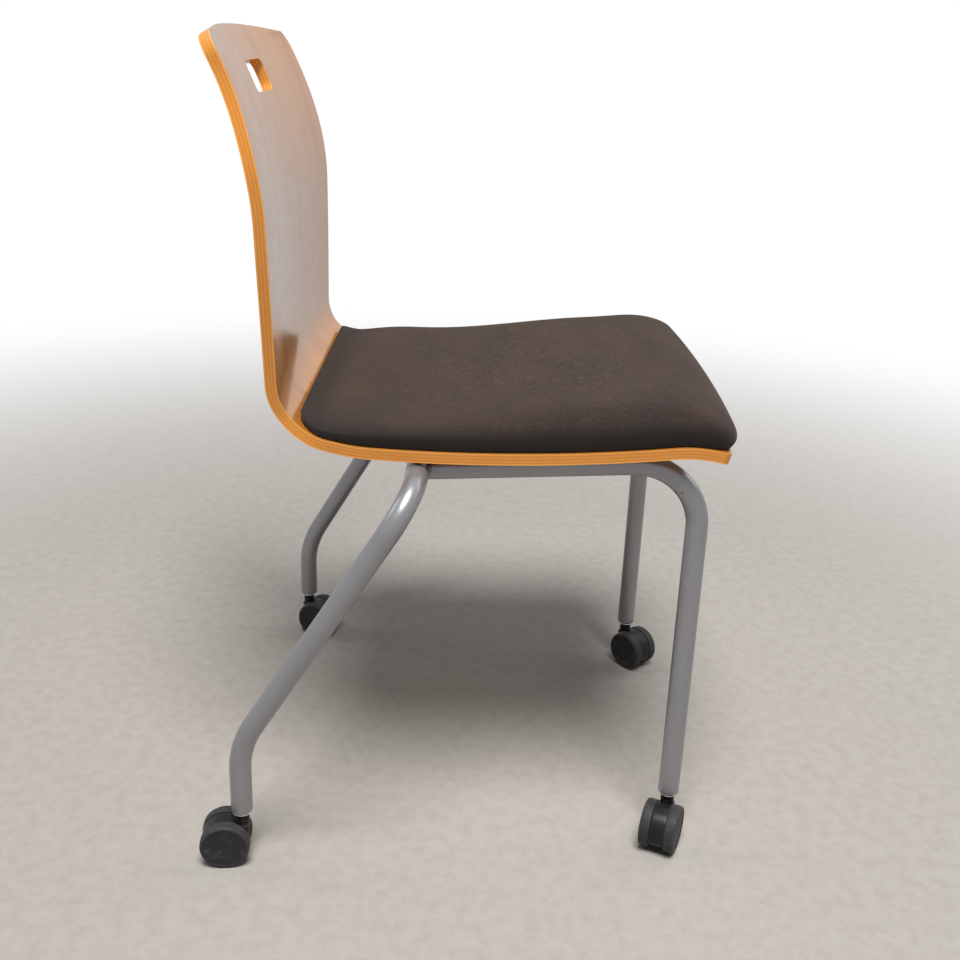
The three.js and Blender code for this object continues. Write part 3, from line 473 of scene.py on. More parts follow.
def boardFace():
    # bare thin plywood: straight grain and open pores
    finish, tree, shader = newFinish("bareBoard", {"Roughness": 0.7})
    marks = noises(tree, dict(grain=((260, 7, 40), 4, 0.6), cloud=(9, 3)))
    colour = mix(tree, marks["grain"], tone(166, 122, 78), tone(204, 164, 116))
    layers = dict(cloud=(0.0, 0.4, 0.45, 0.7, tone(158, 112, 70)))
    connect(tree, shader, colour=layered(tree, colour, marks, layers),
            roughness=spread(tree, marks["grain"], 0.6, 0.8), normal=bump(tree, marks["grain"], 0.3, 0.0003))
    return finish


framePaint = silverPaint()
veneer = shellFace()
plyEdges = shellEdge()
cloth = cushionCloth()
board = boardFace()
hoodPlastic = plastic("hoodNylon", tone(26, 25, 27), tone(74, 71, 70), 0.6, (0.28, 0.46), 60)
wheelPlastic = plastic("wheelNylon", tone(41, 41, 44), tone(86, 84, 83), 0.54, (0.42, 0.66), 95)
blockPlastic = plastic("pivotNylon", tone(30, 30, 33), tone(70, 68, 66), 0.6)
rubber = plastic("saddleRubber", tone(24, 24, 25), tone(62, 60, 58), 0.6, (0.75, 0.9))
zinc = metal("zincPlate", tone(196, 197, 200), tone(150, 150, 154))
rimMetal = metal("brightRim", tone(244, 240, 236), tone(214, 208, 204), (0.2, 0.34))
weldMetal = metal("paintedWeld", tone(132, 132, 136), tone(104, 104, 108), (0.35, 0.5), (700, 700, 700))
print("finishes made")


# Camera, at the photograph's angle

cameraSpot = dict(place=(-1215.39, -13.14, 807.81), azimuth=269.15, elevation=21.19, roll=2.37,
                  focal=1134.64, frameWidth=960, sensor=36, clip=(0.02, 60))


def setCamera():
    # looks back along its own direction: azimuth 0 looks along +Y; roll turns the frame clockwise
    spot = cameraSpot
    a, e, r = (math.radians(spot[k]) for k in ("azimuth", "elevation", "roll"))
    back = Vector((math.sin(a) * math.cos(e), -math.cos(a) * math.cos(e), math.sin(e)))
    side = (-back).cross(Vector((0, 0, 1))).normalized()
    up = side.cross(-back)
    right = side * math.cos(r) + up * math.sin(r)
    above = up * math.cos(r) - side * math.sin(r)
    data = bpy.data.cameras.new("photoView")
    data.sensor_width = spot["sensor"]
    data.lens = spot["focal"] / spot["frameWidth"] * data.sensor_width
    camera = linked("photoView", data)
    turn = np.array([right, above, back]).T
    x, y, z = spot["place"]
    matrix = np.eye(4)
    matrix[:3, :3] = turn
    matrix[:3, 3] = np.array([x, y + setback, z]) * mm
    camera.matrix_world = Matrix(matrix.tolist())
    data.clip_start, data.clip_end = spot["clip"]
    bpy.context.scene.camera = camera


setCamera()


# Tubes: a ring of points carried along a centre line of straights and round bends

def centreLine(corners, radii, steps):
    # each inner corner is rounded by an arc that is tangent to both straights
    corners = np.array(corners, float)
    points, headings = [corners[0]], [corners[1] - corners[0]]
    for i in range(1, len(corners) - 1):
        toBefore, toAfter = unit(corners[i - 1] - corners[i]), unit(corners[i + 1] - corners[i])
        radius = radii[i - 1]
        between = math.acos(float(toBefore @ toAfter))
        start = corners[i] + toBefore * radius / math.tan(between / 2)
        centre = corners[i] + unit(toBefore + toAfter) * radius / math.sin(between / 2)
        outward = (start - centre) / radius
        angle = np.linspace(0, math.pi - between, steps + 1)[:, None]
        points += list(centre + radius * (outward * np.cos(angle) - toBefore * np.sin(angle)))
        headings += list(-outward * np.sin(angle) - toBefore * np.cos(angle))
    points.append(corners[-1])
    headings.append(corners[-1] - corners[-2])
    return np.array(points), unitRows(np.array(headings))


def carriedFrames(headings, start):
    # turns a side direction along the line without twist, one station after the other
    side = np.cross(np.cross(headings[0], start), headings[0])
    sides = []
    for heading in headings:
        side = unit(side - (side @ heading) * heading)
        sides.append(side)
    sides = np.array(sides)
    return sides, np.cross(headings, sides)


def around(angle, first, second):
    # for each row of two directions, the points of a unit circle in their plane
    return (np.cos(angle)[None, :, None] * first[:, None, :]
            + np.sin(angle)[None, :, None] * second[:, None, :])


def tubeSurface(line, outer, inner, sides, swage=0.0, start=(0.3, 1.0, 0.2), openEnd=True):
    # rings run along the outside, over the end, back through the bore and over the other end.
    # At an end the outer radius rounds in by the swage, as cos of the way round a quarter turn.
    points, headings = line
    sideways, upward = carriedFrames(headings, np.array(start))
    count = len(points)
    quarter = np.linspace(0, np.pi / 2, 7)
    rings = []  # each row: station, shift along the heading, radius
    for station, sign in ((0, 1), (count - 1, -1)):
        rounding = swage if (station == 0 or openEnd) and swage > 0 else (outer - inner) / 2
        shift = rounding * (1 - np.sin(quarter))
        radius = outer - rounding + rounding * np.cos(quarter)
        tip = min(inner, radius[-1] - tube["leastLip"])
        rings.append(np.stack([np.full(8, station), sign * np.append(shift, shift[-1]),
                               np.append(radius, tip)], 1))
    first, last = rings
    along = np.arange(1, count - 1)
    body = np.stack([along, 0 * along, np.full(len(along), outer)], 1)
    bore = np.stack([along[::-1], 0 * along, np.full(len(along), inner)], 1)
    order = np.concatenate([first[-2::-1], body, last, bore, first[-1:]])
    station = order[:, 0].astype(int)
    middle = points[station] + headings[station] * order[:, 1:2]
    circle = around(ringAngles(sides), sideways[station], upward[station])
    grid = middle[:, None, :] + circle * order[:, 2][:, None, None]
    return grid, gridFaces(len(order), sides, closeRows=True, closeColumns=True)


tube = dict(outer=11.1, inner=9.1, legEnd=58.8, plumb=42.0, sides=40, bendSteps=22, swage=2.0,
            leastLip=0.6, meetGap=0.3)
bead = dict(sides=10, ripples=((0.10, 1.9), (0.05, 0.7)), lift=0.2, railRadius=1.7, railSink=0.4,
            railSteps=72, runUp=30, crossRadius=1.4, crossSink=0.3, crossSteps=60)
hoop = dict(footHalf=247.4, footBack=203.6, kneeHeight=136.4, kneeRadius=104.6,
            cornerHalf=270.2, topBack=32.0, topHeight=421.8, cornerRadius=44.8)
sideTube = dict(footHalf=192.3, footFront=245.6, cornerHalf=188.0, cornerFront=243.3,
                cornerHeight=436.31, bendRadius=64.4, railHalf=185.4, railDrop=3.3)
crossTube = dict(outer=8.0, inner=6.5, stations=9, bendAbove=300)


def hoopPiece():
    h = hoop
    half = [(h["footHalf"], h["footBack"], tube["legEnd"]), (h["footHalf"], h["footBack"], h["kneeHeight"]),
            (h["cornerHalf"], h["topBack"], h["topHeight"])]
    line = centreLine([(-x, y, z) for x, y, z in half] + half[::-1],
                      [h["kneeRadius"], h["cornerRadius"], h["cornerRadius"], h["kneeRadius"]],
                      tube["bendSteps"])
    points, faces = tubeSurface(line, tube["outer"], tube["inner"], tube["sides"], tube["swage"])
    addPiece("hoopTube", points, faces, framePaint, "frame", "frame_paint", ("rear_hoop",))


def sideLine(side):
    s = sideTube
    return centreLine([(side * s["footHalf"], -s["footFront"], tube["legEnd"]),
                       (side * s["footHalf"], -s["footFront"], tube["legEnd"] + tube["plumb"]),
                       (side * s["cornerHalf"], -s["cornerFront"], s["cornerHeight"]),
                       (side * s["railHalf"], hoop["topBack"], hoop["topHeight"] - s["railDrop"])],
                      [s["bendRadius"], s["bendRadius"]], tube["bendSteps"])


def meetHoop(points, heading):
    # how far each point can go along the rail before it meets the hoop: the nearer root of the
    # squared distance from the hoop's axis, or the nearest pass where it misses
    reach = tube["outer"] + tube["meetGap"]
    offset = points[..., 1:] - [hoop["topBack"], hoop["topHeight"]]
    along = heading[1:]
    a = along @ along
    b = 2 * offset @ along
    c = (offset ** 2).sum(-1) - reach ** 2
    return (-b - np.sqrt(np.maximum(b ** 2 - 4 * a * c, 0))) / (2 * a)


def beadSurface(path, outward, radius):
    # a weld bead: a small ring, with ripples, carried round a closed path
    ahead = unitRows(np.roll(path, -1, 0) - np.roll(path, 1, 0))
    outward = unitRows(outward - (outward * ahead).sum(1)[:, None] * ahead)
    ring = around(ringAngles(bead["sides"]), outward, np.cross(ahead, outward))
    ripple = 1
    for height, pace in bead["ripples"]:
        ripple = ripple + height * np.sin(np.arange(len(path)) * pace)
    grid = path[:, None, :] + ring * (radius * ripple)[:, None, None]
    return grid, gridFaces(len(path), bead["sides"], closeRows=True, closeColumns=True)


def sideTubePiece(side, word):
    line = sideLine(side)
    grid, faces = tubeSurface(line, tube["outer"], tube["inner"], tube["sides"], tube["swage"],
                              start=(side, 0.1, 0.1), openEnd=False)
    heading = line[1][-1]
    railStart = line[0][-2]
    onRail = (grid - railStart) @ heading > 1.0
    room = meetHoop(grid, heading)
    grid = np.where((onRail & (room < 0))[..., None], grid + room[..., None] * heading, grid)
    addPiece(f"{word}SideTube", grid, faces, framePaint, "frame", "frame_paint",
             (f"{word}_side_tube",))
    sideways, upward = carriedFrames(line[1][-1:], np.array([side, 0.1, 0.1]))
    circle = around(ringAngles(bead["railSteps"]), sideways, upward)[0]
    path = line[0][-1] - heading * bead["runUp"] + circle * (tube["outer"] + bead["lift"])
    path = path + (meetHoop(path, heading) - bead["railSink"])[:, None] * heading
    addPiece(f"{word}RailWeld", *beadSurface(path, circle, bead["railRadius"]), weldMetal, "frame",
             "frame_paint")


def crossTubePiece():
    # ends are cut to the side tubes' round: half the span less the root of R squared less u
    # squared, where u is how far a point lies off the side tube's centre line
    c = crossTube
    half = (crossHigh.x - crossLow.x) / 2 / mm
    middle = np.array([0, -crossFront, pivot["z"]])
    stations = np.linspace(-1, 1, c["stations"])[:, None] * [half, 0, 0] + middle
    headings = np.repeat([[1.0, 0, 0]], c["stations"], 0)
    grid, faces = tubeSurface((stations, headings), c["outer"], c["inner"], tube["sides"])
    line, leans = sideLine(1)
    high = line[:, 2] > c["bendAbove"]
    closest = np.argmin(np.abs(line[high, 1] + crossFront))
    nearest, lean = line[high][closest], leans[high][closest]

    def spanAt(points):
        off = (points[..., 1] - nearest[1]) * lean[2] - (points[..., 2] - pivot["z"]) * lean[1]
        reach = tube["outer"] + tube["meetGap"]
        return nearest[0] - np.sqrt(np.maximum(reach ** 2 - off ** 2, 0))

    grid[..., 0] = np.clip(grid[..., 0], -spanAt(grid), spanAt(grid))
    addPiece("crossTube", grid, faces, framePaint, "frame", "frame_paint", ("front_cross_tube",))
    ring = ringAngles(bead["crossSteps"])
    circle = np.stack([0 * ring, np.cos(ring), np.sin(ring)], 1)
    for side, word in ((-1, "right"), (1, "left")):
        path = circle * (c["outer"] + bead["lift"]) + middle
        path[:, 0] = side * (spanAt(path) - bead["crossSink"])
        addPiece(f"{word}CrossWeld", *beadSurface(path, circle, bead["crossRadius"]), weldMetal, "frame",
                 "frame_paint")


hoopPiece()
sideTubePiece(-1, "right")
sideTubePiece(1, "left")
crossTubePiece()
print("frame tubes made")


# Plywood shell: a side profile of runs with constant turn, and a half width along it

shell = dict(thickness=11.0, lipFront=263.0, lipHeight=449.496, lipHeading=15.7,
             runs=(53.6, 212.9, 117.0, 82.3, 143.2, 43.0, 127.6),
             turns=(-22.5, 6.9, 3.9, 85.4, -0.8, -8.4, -20.1),
             seatHalf=218.0, waistHalf=189.5, backHalf=215.8, crestHalf=202.0,
             frontCorner=(8.0, 8.0), crestRound=22.0, lipBow=6.0, lipFade=8, crestArch=14.0,
             crestFade=4, hollow=12.5, rowPitch=4.2, columns=72, easedEdge=1.3, crossRun=0.7)
runs = np.array(shell["runs"])
turns = np.radians(shell["turns"])
runStarts = np.concatenate([[0], np.cumsum(runs)])
profileLength = float(runStarts[-1])
bendStart = float(runStarts[3])
bendEnd = float(runStarts[4])
waistPlace = (bendStart + 2 * bendEnd) / 3
widestPlace = float(runStarts[6])


def arcStep(y, z, heading, turn, run, part):
    # the chord of an arc: part times sin(half its turn) over half its turn, at the middle heading
    bend = turn * part / run
    chord = part * np.sinc(bend / 2 / np.pi)
    return y + chord * np.cos(heading + bend / 2), z + chord * np.sin(heading + bend / 2), heading + bend


def runEnds():
    y, z, heading = [-shell["lipFront"]], [shell["lipHeight"]], [math.radians(shell["lipHeading"])]
    for run, turn in zip(runs, turns):
        nextPoint = arcStep(y[-1], z[-1], heading[-1], turn, run, run)
        y.append(nextPoint[0]), z.append(nextPoint[1]), heading.append(nextPoint[2])
    return np.array(y), np.array(z), np.array(heading)


endY, endZ, endHeading = runEnds()


def profileAt(distance):
    index = np.clip(np.searchsorted(runStarts, distance, "right") - 1, 0, len(runs) - 1)
    turn = np.where(distance < 0, 0, turns[index])
    return arcStep(endY[index], endZ[index], endHeading[index], turn, runs[index],
                   distance - runStarts[index])


def eased(low, high, start, end, distance):
    # goes from low to high between two distances as 3 t squared less 2 t cubed
    t = np.clip((distance - start) / (end - start), 0, 1)
    return low + (high - low) * t * t * (3 - 2 * t)


def cornerDrawIn(length, depth, fromEnd):
    share = np.clip(1 - fromEnd / length, 0, 1)
    return depth * (1 - np.sqrt(1 - share ** 2))


def halfWidthAt(distance):
    # the seat's half width, less what is lost to the waist, plus what the back gains, less what the
    # crest and the round corners take
    s = shell
    crestStart = profileLength - s["crestRound"]
    toWaist = eased(0, s["seatHalf"] - s["waistHalf"], bendStart - runs[3] / 2, waistPlace, distance)
    toBack = eased(0, s["backHalf"] - s["waistHalf"], waistPlace - runs[4] / 2, widestPlace, distance)
    toCrest = eased(0, s["backHalf"] - s["crestHalf"], widestPlace, crestStart, distance)
    corners = (cornerDrawIn(*s["frontCorner"], distance)
               + cornerDrawIn(s["crestRound"], s["crestRound"], profileLength - distance))
    return s["seatHalf"] - toWaist + toBack - toCrest - corners


def shellPoint(x, distance, height):
    # a point over the sitter's face, at a height square to the profile; the back is hollow across
    # as one less the squared share of the half width
    y, z, heading = profileAt(distance)
    share = x / halfWidthAt(np.clip(distance, shell["frontCorner"][0], profileLength))
    hollow = eased(0, shell["hollow"], bendStart, bendEnd + runs[4] / 3, distance)
    lift = height + shell["thickness"] / 2 - hollow * (1 - share ** 2)
    return np.stack(np.broadcast_arrays(x, y - lift * np.sin(heading), z + lift * np.cos(heading)), -1)


handHole = dict(width=88.0, height=33.0, corner=10.0, belowCrest=54.6, margin=24.0, rings=7,
                cornerSteps=8)


def holeOutline(shares):
    # a rounded rectangle; shares run from 0 to 4, one for each quarter from the bottom middle
    w, h, r = handHole["width"] / 2, handHole["height"] / 2, handHole["corner"]
    arc = np.linspace(0, np.pi / 2, handHole["cornerSteps"] + 1)
    lowRight = np.stack([w - r + r * np.sin(arc), -h + r - r * np.cos(arc)], 1)
    quarter = np.concatenate([[[0, -h]], lowRight, [[w, 0]]])
    lengths = np.concatenate([[0], np.cumsum(np.linalg.norm(np.diff(quarter, axis=0), axis=1))])
    which = np.clip(np.floor(shares + 1e-9), 0, 3).astype(int)
    part = shares - which
    part = np.where(which % 2 == 1, 1 - part, part)
    x = np.interp(part * lengths[-1], lengths, quarter[:, 0])
    y = np.interp(part * lengths[-1], lengths, quarter[:, 1])
    return np.stack([np.where(which >= 2, -x, x), np.where((which == 1) | (which == 2), -y, y)], 1)


def shellRows():
    corner, crest = shell["frontCorner"][0], profileLength - shell["crestRound"]
    steps = int((crest - corner) / shell["rowPitch"])
    turn = np.linspace(0, np.pi / 2, 9)
    front = corner * (1 - np.sin(turn[::-1]))  # rows crowd where the corner turns fastest
    top = crest + shell["crestRound"] * np.sin(np.linspace(0, np.pi / 2, 17))
    return np.concatenate([front[:-1], np.linspace(corner, crest, steps), top[1:]])


def sheetGrid(rows):
    # x and distance of the sheet's points; the lip bows and the crest arches, most at the middle
    s = shell
    share = np.linspace(-1, 1, s["columns"] + 1)[None, :]
    along = rows[:, None] / profileLength
    bulge = s["crestArch"] * along ** s["crestFade"] - s["lipBow"] * (1 - along) ** s["lipFade"]
    return share * halfWidthAt(rows)[:, None], rows[:, None] + bulge * (1 - share ** 2)


def shellSheet():
    # the flat sheet is a grid in (x, distance); round the hand hole a window of the grid is left
    # out, and rings fill it from the window's edge to the hole. The sheet's two edges come last.
    s, h = shell, handHole
    rows, columns = shellRows(), s["columns"]
    x, distance = sheetGrid(rows)
    grid = np.stack([x, distance], -1).reshape(-1, 2)
    number = np.arange(len(grid)).reshape(len(rows), columns + 1)
    holeMiddle = profileLength + s["crestArch"] - h["belowCrest"]
    middle = columns // 2
    reachX, reachD = h["width"] / 2 + h["margin"], h["height"] / 2 + h["margin"]
    c0 = int(np.argmin(np.abs(x[len(rows) * 9 // 10] + reachX)))  # a row at the hole's height
    c1 = 2 * middle - c0
    r0, r1 = (int(np.argmin(np.abs(distance[:, middle] - v)))
              for v in (holeMiddle - reachD, holeMiddle + reachD))
    r1 += (r1 - r0) % 2
    whole = np.ones((len(rows) - 1, columns), bool)
    whole[r0:r1, c0:c1] = False
    window = np.concatenate([number[r0, middle:c1], number[r0:r1, c1], number[r1, c1:c0:-1],
                             number[r1:r0:-1, c0], number[r0, c0:middle]])
    quarter = len(window) // 4
    shares = np.concatenate([q + np.arange(quarter) / quarter for q in range(4)])
    t = np.linspace(0, 1, h["rings"] + 1)[1:, None, None]
    ringPoints = grid[window] * (1 - t) + (holeOutline(shares) + [0, holeMiddle]) * t
    rings = len(grid) + np.arange(h["rings"] * len(window)).reshape(-1, len(window))
    rings = np.concatenate([window[None], rings])
    rolled = np.roll(rings, -1, 1)
    ringFaces = np.stack([rings[:-1], rolled[:-1], rolled[1:], rings[1:]], -1).reshape(-1, 4)
    border = np.concatenate([number[0], number[1:, -1], number[-1, -2::-1], number[-2:0:-1, 0]])
    return (np.concatenate([grid, ringPoints.reshape(-1, 2)]),
            np.concatenate([gridFaces(len(rows), columns + 1)[whole.ravel()], ringFaces]),
            (border, rings[-1]))


def shellPiece():
    # the sheet at the sitter's face and again at the rear face, with walls between their edges
    s = shell
    flat, sheetFaces, edges = shellSheet()
    total = len(flat)
    walls = []
    for loop in edges:
        following = np.roll(loop, -1)
        walls.append(np.stack([loop, following, following + total, loop + total], -1))
    points = np.concatenate([shellPoint(flat[:, 0], flat[:, 1], height)
                             for height in (0.0, -s["thickness"])])
    faces = np.concatenate([sheetFaces, sheetFaces[:, ::-1] + total, *walls])
    piece = addPiece("plywoodShell", points, faces, veneer, "shell", "shell_ply", ("seat_shell",),
                     seal=False)
    mesh = piece.data
    mesh.materials.append(plyEdges)
    onWall = np.arange(len(faces)) >= 2 * len(sheetFaces)
    mesh.polygons.foreach_set("material_index", onWall.astype(np.int32))
    both = np.concatenate([flat, flat]) * mm
    addMap(mesh, "grain", both)
    # on the plies map, U is the length run along an edge and V the height in the ply
    level = np.repeat([s["thickness"], 0], total) * mm
    addMap(mesh, "plies", np.stack([both[:, 1] + both[:, 0] * s["crossRun"], level], 1))
    ease = easeEdges(piece, s["easedEdge"], segments=3, angle=50)
    ease.material = 0  # the eased corner shows the face veneer


shellPiece()
print("shell made")


# Seat cushion: loops of a rounded rectangle on the shell, raised as a crowned pad

cushion = dict(halfWidth=217.5, frontLap=1.5, length=423.0, frontCorner=18.0, rearCorner=25.0,
               frontBow=10.0, wall=11.0, rearCrown=18.0, frontCrown=37.0, shoulder=46.0, drawIn=1.5,
               frontTuck=1.0, rearTuck=5.0, fallStart=110.0, fallEnd=350.0, softening=0.6,
               thinning=11.0, thinningStart=320.0, lift=0.6, boardPocket=(16.0, 16.0, 60.0),
               pocketHeight=6.4, cornerSteps=12, sideSteps=44, swellFrames=20,
               swellCap=1.6, calming=60, heldBelow=-0.15, startShrink=0.8, footShrink=0.3,
               turnUnder=1.2, inwardShare=0.38, topRings=25,
               fabric=dict(quality=6, use_pressure=True, uniform_pressure_force=4.0,
                           tension_stiffness=25, compression_stiffness=25, bending_stiffness=2,
                           vertex_group_mass="held"),
               shoulderRings=(0.0, 0.012, 0.04, 0.09, 0.16, 0.25, 0.36, 0.5, 0.66, 0.83, 1.0))


def cushionLoop(inset, tuckShare=0.0):
    # four round corners and four sides, then a bow at the front and a tuck at both ends
    c = cushion
    halfLength = (c["length"] + c["frontLap"]) / 2
    arcs = []
    for side, end, radius, start in ((1, 1, c["rearCorner"], 0), (-1, 1, c["rearCorner"], 90),
                                     (-1, -1, c["frontCorner"], 180), (1, -1, c["frontCorner"], 270)):
        wide = radius + inset * c["softening"]
        angle = np.radians(start + np.linspace(0, 90, c["cornerSteps"] + 1))
        arcs.append(np.stack([side * (c["halfWidth"] - inset - wide) + wide * np.cos(angle),
                              end * (halfLength - inset - wide) + wide * np.sin(angle)], 1))
    share = np.linspace(0, 1, c["sideSteps"] + 1)[1:-1, None]
    loop = np.concatenate([part for arc, following in zip(arcs, arcs[1:] + arcs[:1])
                           for part in (arc, arc[-1] * (1 - share) + following[0] * share)])
    x, y = loop[:, 0], loop[:, 1]
    front = np.maximum(-y / halfLength, 0) ** 2
    rear = np.maximum(y / halfLength, 0) ** 2
    bow = c["frontBow"] * (1 - (x / c["halfWidth"]) ** 2) * front
    tuck = tuckShare * (c["frontTuck"] * front - c["rearTuck"] * rear)
    distance = halfLength - c["frontLap"] + y - bow + tuck
    narrowing = halfWidthAt(np.maximum(distance, shell["frontCorner"][0])) / shell["seatHalf"]
    return x * narrowing, distance


def cushionTop(distance, inset):
    # a quarter ellipse from the wall's height up to the crown over the shoulder's width
    c = cushion
    crown = eased(c["frontCrown"], c["rearCrown"], c["fallStart"], c["fallEnd"], distance)
    thin = eased(0, c["thinning"], c["thinningStart"], c["length"], distance)
    wall = c["wall"] - thin / 2
    rise = np.minimum(inset / c["shoulder"], 1)
    return wall + (crown - thin - wall) * np.sqrt(1 - (1 - rise) ** 2)


def cushionSurface():
    # rings run from the board's pocket over the underside and up the side to the top's middle
    c = cushion
    shrink, middle, low = c["startShrink"], c["length"] / 2, c["lift"] + c["turnUnder"]
    pocketSide, pocketFront, pocketRear = c["boardPocket"]

    def pocketRim(grow):
        x, d = cushionLoop(c["drawIn"])
        half = c["halfWidth"] - pocketSide + grow
        return np.clip(x, -half, half), np.clip(d, pocketFront - grow, c["length"] - pocketRear + grow)

    x, d = pocketRim(0)
    rings = [shellPoint(x * share, middle + (d - middle) * share, c["pocketHeight"])
             for share in (0.0, 0.35, 0.7, 1.0)]
    rimX, rimD = pocketRim(0.5)
    footX, footD = cushionLoop(c["drawIn"] + c["turnUnder"] + c["footShrink"], 1)
    for t in np.linspace(0, 1, 5):
        rings.append(shellPoint(rimX * (1 - t) + footX * t, rimD * (1 - t) + footD * t, c["lift"]))
    for k in (0.35, 0.7, 1.0):  # the small turn under the edge
        turn = k * math.pi / 2
        x, d = cushionLoop(c["drawIn"] + c["footShrink"] + c["turnUnder"] * (1 - math.sin(turn)), 1)
        rings.append(shellPoint(x, d, c["lift"] + c["turnUnder"] * (1 - math.cos(turn))))
    climb = [np.zeros_like(d)] * len(rings)  # how far up the side and in over the top, in mm
    for k in (0.3, 0.6, 0.85):
        x, d = cushionLoop(c["footShrink"] * (1 - k) + shrink * k + c["drawIn"] * (1 - k) ** 2, 1 - k)
        climb.append(low + (cushionTop(d, 0) - low) * k)
        rings.append(shellPoint(x, d, climb[-1]))
    for share in c["shoulderRings"]:
        inset = share * c["shoulder"]
        x, d = cushionLoop(shrink + inset)
        height = cushionTop(d, inset)
        rings.append(shellPoint(x, d, height - shrink * share))
        climb.append(height + inset * c["inwardShare"])
    edgeX, edgeD = x, d
    for share in np.linspace(1, 0, c["topRings"] + 1)[1:]:
        d = middle + (edgeD - middle) * share
        rings.append(shellPoint(edgeX * share, d, cushionTop(d, c["shoulder"]) - shrink))
        climb.append(climb[-1] + c["halfWidth"] / c["topRings"] * c["inwardShare"])
    grid = np.stack(rings)
    return grid, gridFaces(len(rings), grid.shape[1], closeColumns=True), np.stack(climb).ravel()


def calmed(mesh, step, still):
    # each point's movement goes halfway to its neighbours' mean, many times over
    edges = np.zeros(len(mesh.edges) * 2, np.int64)
    mesh.edges.foreach_get("vertices", edges)
    edges = edges.reshape(-1, 2)
    start, end = np.concatenate([edges, edges[:, ::-1]]).T
    links = np.maximum(np.bincount(start, minlength=len(step)), 1)[:, None]
    for _ in range(cushion["calming"]):
        near = np.stack([np.bincount(start, step[end, k], len(step)) for k in range(3)], 1)
        step = (step + near / links) / 2
        step[still] = 0
    return step


def swell(piece):
    # blows the pad up a little as cloth, its underside held, and caps how far a point may move
    c = cushion
    mesh = piece.data
    rest = perPoint(mesh.vertices, "co")
    downward = perPoint(mesh.vertices, "normal")[:, 2] < c["heldBelow"]
    held = piece.vertex_groups.new(name="held")
    held.add(np.flatnonzero(downward).tolist(), 1.0, "REPLACE")
    fabric = piece.modifiers.new("fabric", "CLOTH")
    for key, value in c["fabric"].items():
        setattr(fabric.settings, key, value)
    fabric.settings.effector_weights.gravity = 0
    fabric.point_cache.frame_start, fabric.point_cache.frame_end = 1, c["swellFrames"]
    scene = bpy.context.scene
    for number in range(1, c["swellFrames"] + 1):
        scene.frame_set(number)
    shaped = piece.evaluated_get(bpy.context.evaluated_depsgraph_get()).data
    step = perPoint(shaped.vertices, "co") - rest
    piece.modifiers.remove(fabric)
    scene.frame_set(1)
    length = np.linalg.norm(step, axis=1)
    print("cloth moved at most", round(float(length.max()) / mm, 2), "mm, middle",
          round(float(np.median(length)) / mm, 2))
    cap = c["swellCap"] * mm
    step = step * (cap * np.tanh(length / cap) / np.maximum(length, 1e-9))[:, None]
    step[downward] = 0
    mesh.vertices.foreach_set("co", (rest + calmed(mesh, step, downward)).ravel())
    mesh.update()


def cushionPiece():
    points, faces, climb = cushionSurface()
    piece = addPiece("seatCushion", points, faces, cloth, "shell", "cushion_cloth",
                     ("seat_cushion",), seal=False)
    mesh = piece.data
    addMap(mesh, "climb", np.stack([climb, climb], 1) * mm)
    sealMesh(mesh)
    smoothMesh(mesh, 60)
    swell(piece)
    finer = piece.modifiers.new("finer", "SUBSURF")
    finer.levels = finer.render_levels = 1


cushionPiece()
print("cushion made")


# Casters: made about the leg's end, trailing along +X, then turned to their swivel angle

caster = dict(wheelRadius=25.4, step=4.2, inner=1.8, stepOffset=8.2, outer=19.5, bore=11.0,
              trail=17.4, axle=6.0, play=0.3, stemSeat=48.0, stem=5.5, stemRise=30.0, socketRise=34.0,
              socket=8.7, flange=10.2, flangeThickness=1.3)
wheelFace = [(21.8, 0), (20.8, 0.6), (12.0, 0.9), (0, 0.9)]  # radius, and how deep the face is there
wheelRounding = [0, 0, 0.3, 0.6, 0.5, 0.7, 3.4, 0.15, 0.4, 3.0, 0]
hood = dict(width=15.8, wall=2.4, recess=0.8, web=2.6, boss=8.0, tailAngle=-33.0, shoulderHeight=44.5,
            shoulderLap=0.22, arcSteps=60, ringSides=28, squareness=(0.16, 0.35), tipWidth=0.2,
            webEnd=188, webSteps=40, bossFrom=-140, bossTo=-60, bossSteps=12, clearance=0.1)
hoodNeck = dict(radius=7.2, low=22.0, bodyTop=50.6, top=57.0, bodySteps=26, stemPlay=0.5,
                collar=[(0.7, 51.0), (0.7, 51.7), (0, 52.1), (0, 53.6), (0.7, 54.0), (0.7, 54.6),
                        (0, 55.0)])  # each groove's depth and height
hoodBlock = dict(half=6.2, shift=-0.6, sides=32, squareness=(0.5, 0.3), overWheels=2.2,
                 levels=[(0.0, 40.5), (0.9, 40.5), (1.0, 41.2), (1.0, 43.6), (0.93, 44.5), (0.0, 44.6)])
spots = dict(rear_right=(-247.4, 203.6, 95.0), rear_left=(247.4, 203.6, -112.0),
             front_right=(-192.3, -245.6, 157.0), front_left=(192.3, -245.6, -140.0))


def wheelSurface(facing):
    # a turned wheel: a round-shouldered tread, a step towards the hood and a faintly dished face
    c = caster
    radius, bore = c["wheelRadius"], c["axle"] / 2 + c["play"]
    deep = c["inner"] + c["bore"]
    profile = [(0, deep), (bore, deep), (bore, c["inner"]), (radius - c["step"], c["inner"]),
               (radius - c["step"], c["stepOffset"]), (radius, c["stepOffset"]), (radius, c["outer"])]
    profile += [(r, c["outer"] - depth) for r, depth in wheelFace]
    points, faces = turnedSurface(softProfile(profile, wheelRounding), 72)
    x, y, z = points[..., 0], points[..., 1], points[..., 2]
    return np.stack([x + c["trail"], facing * z, y + radius], -1), faces


hoodOuter = caster["wheelRadius"] - hood["recess"]
hoodHollow = hoodOuter - hood["wall"] + hood["clearance"]


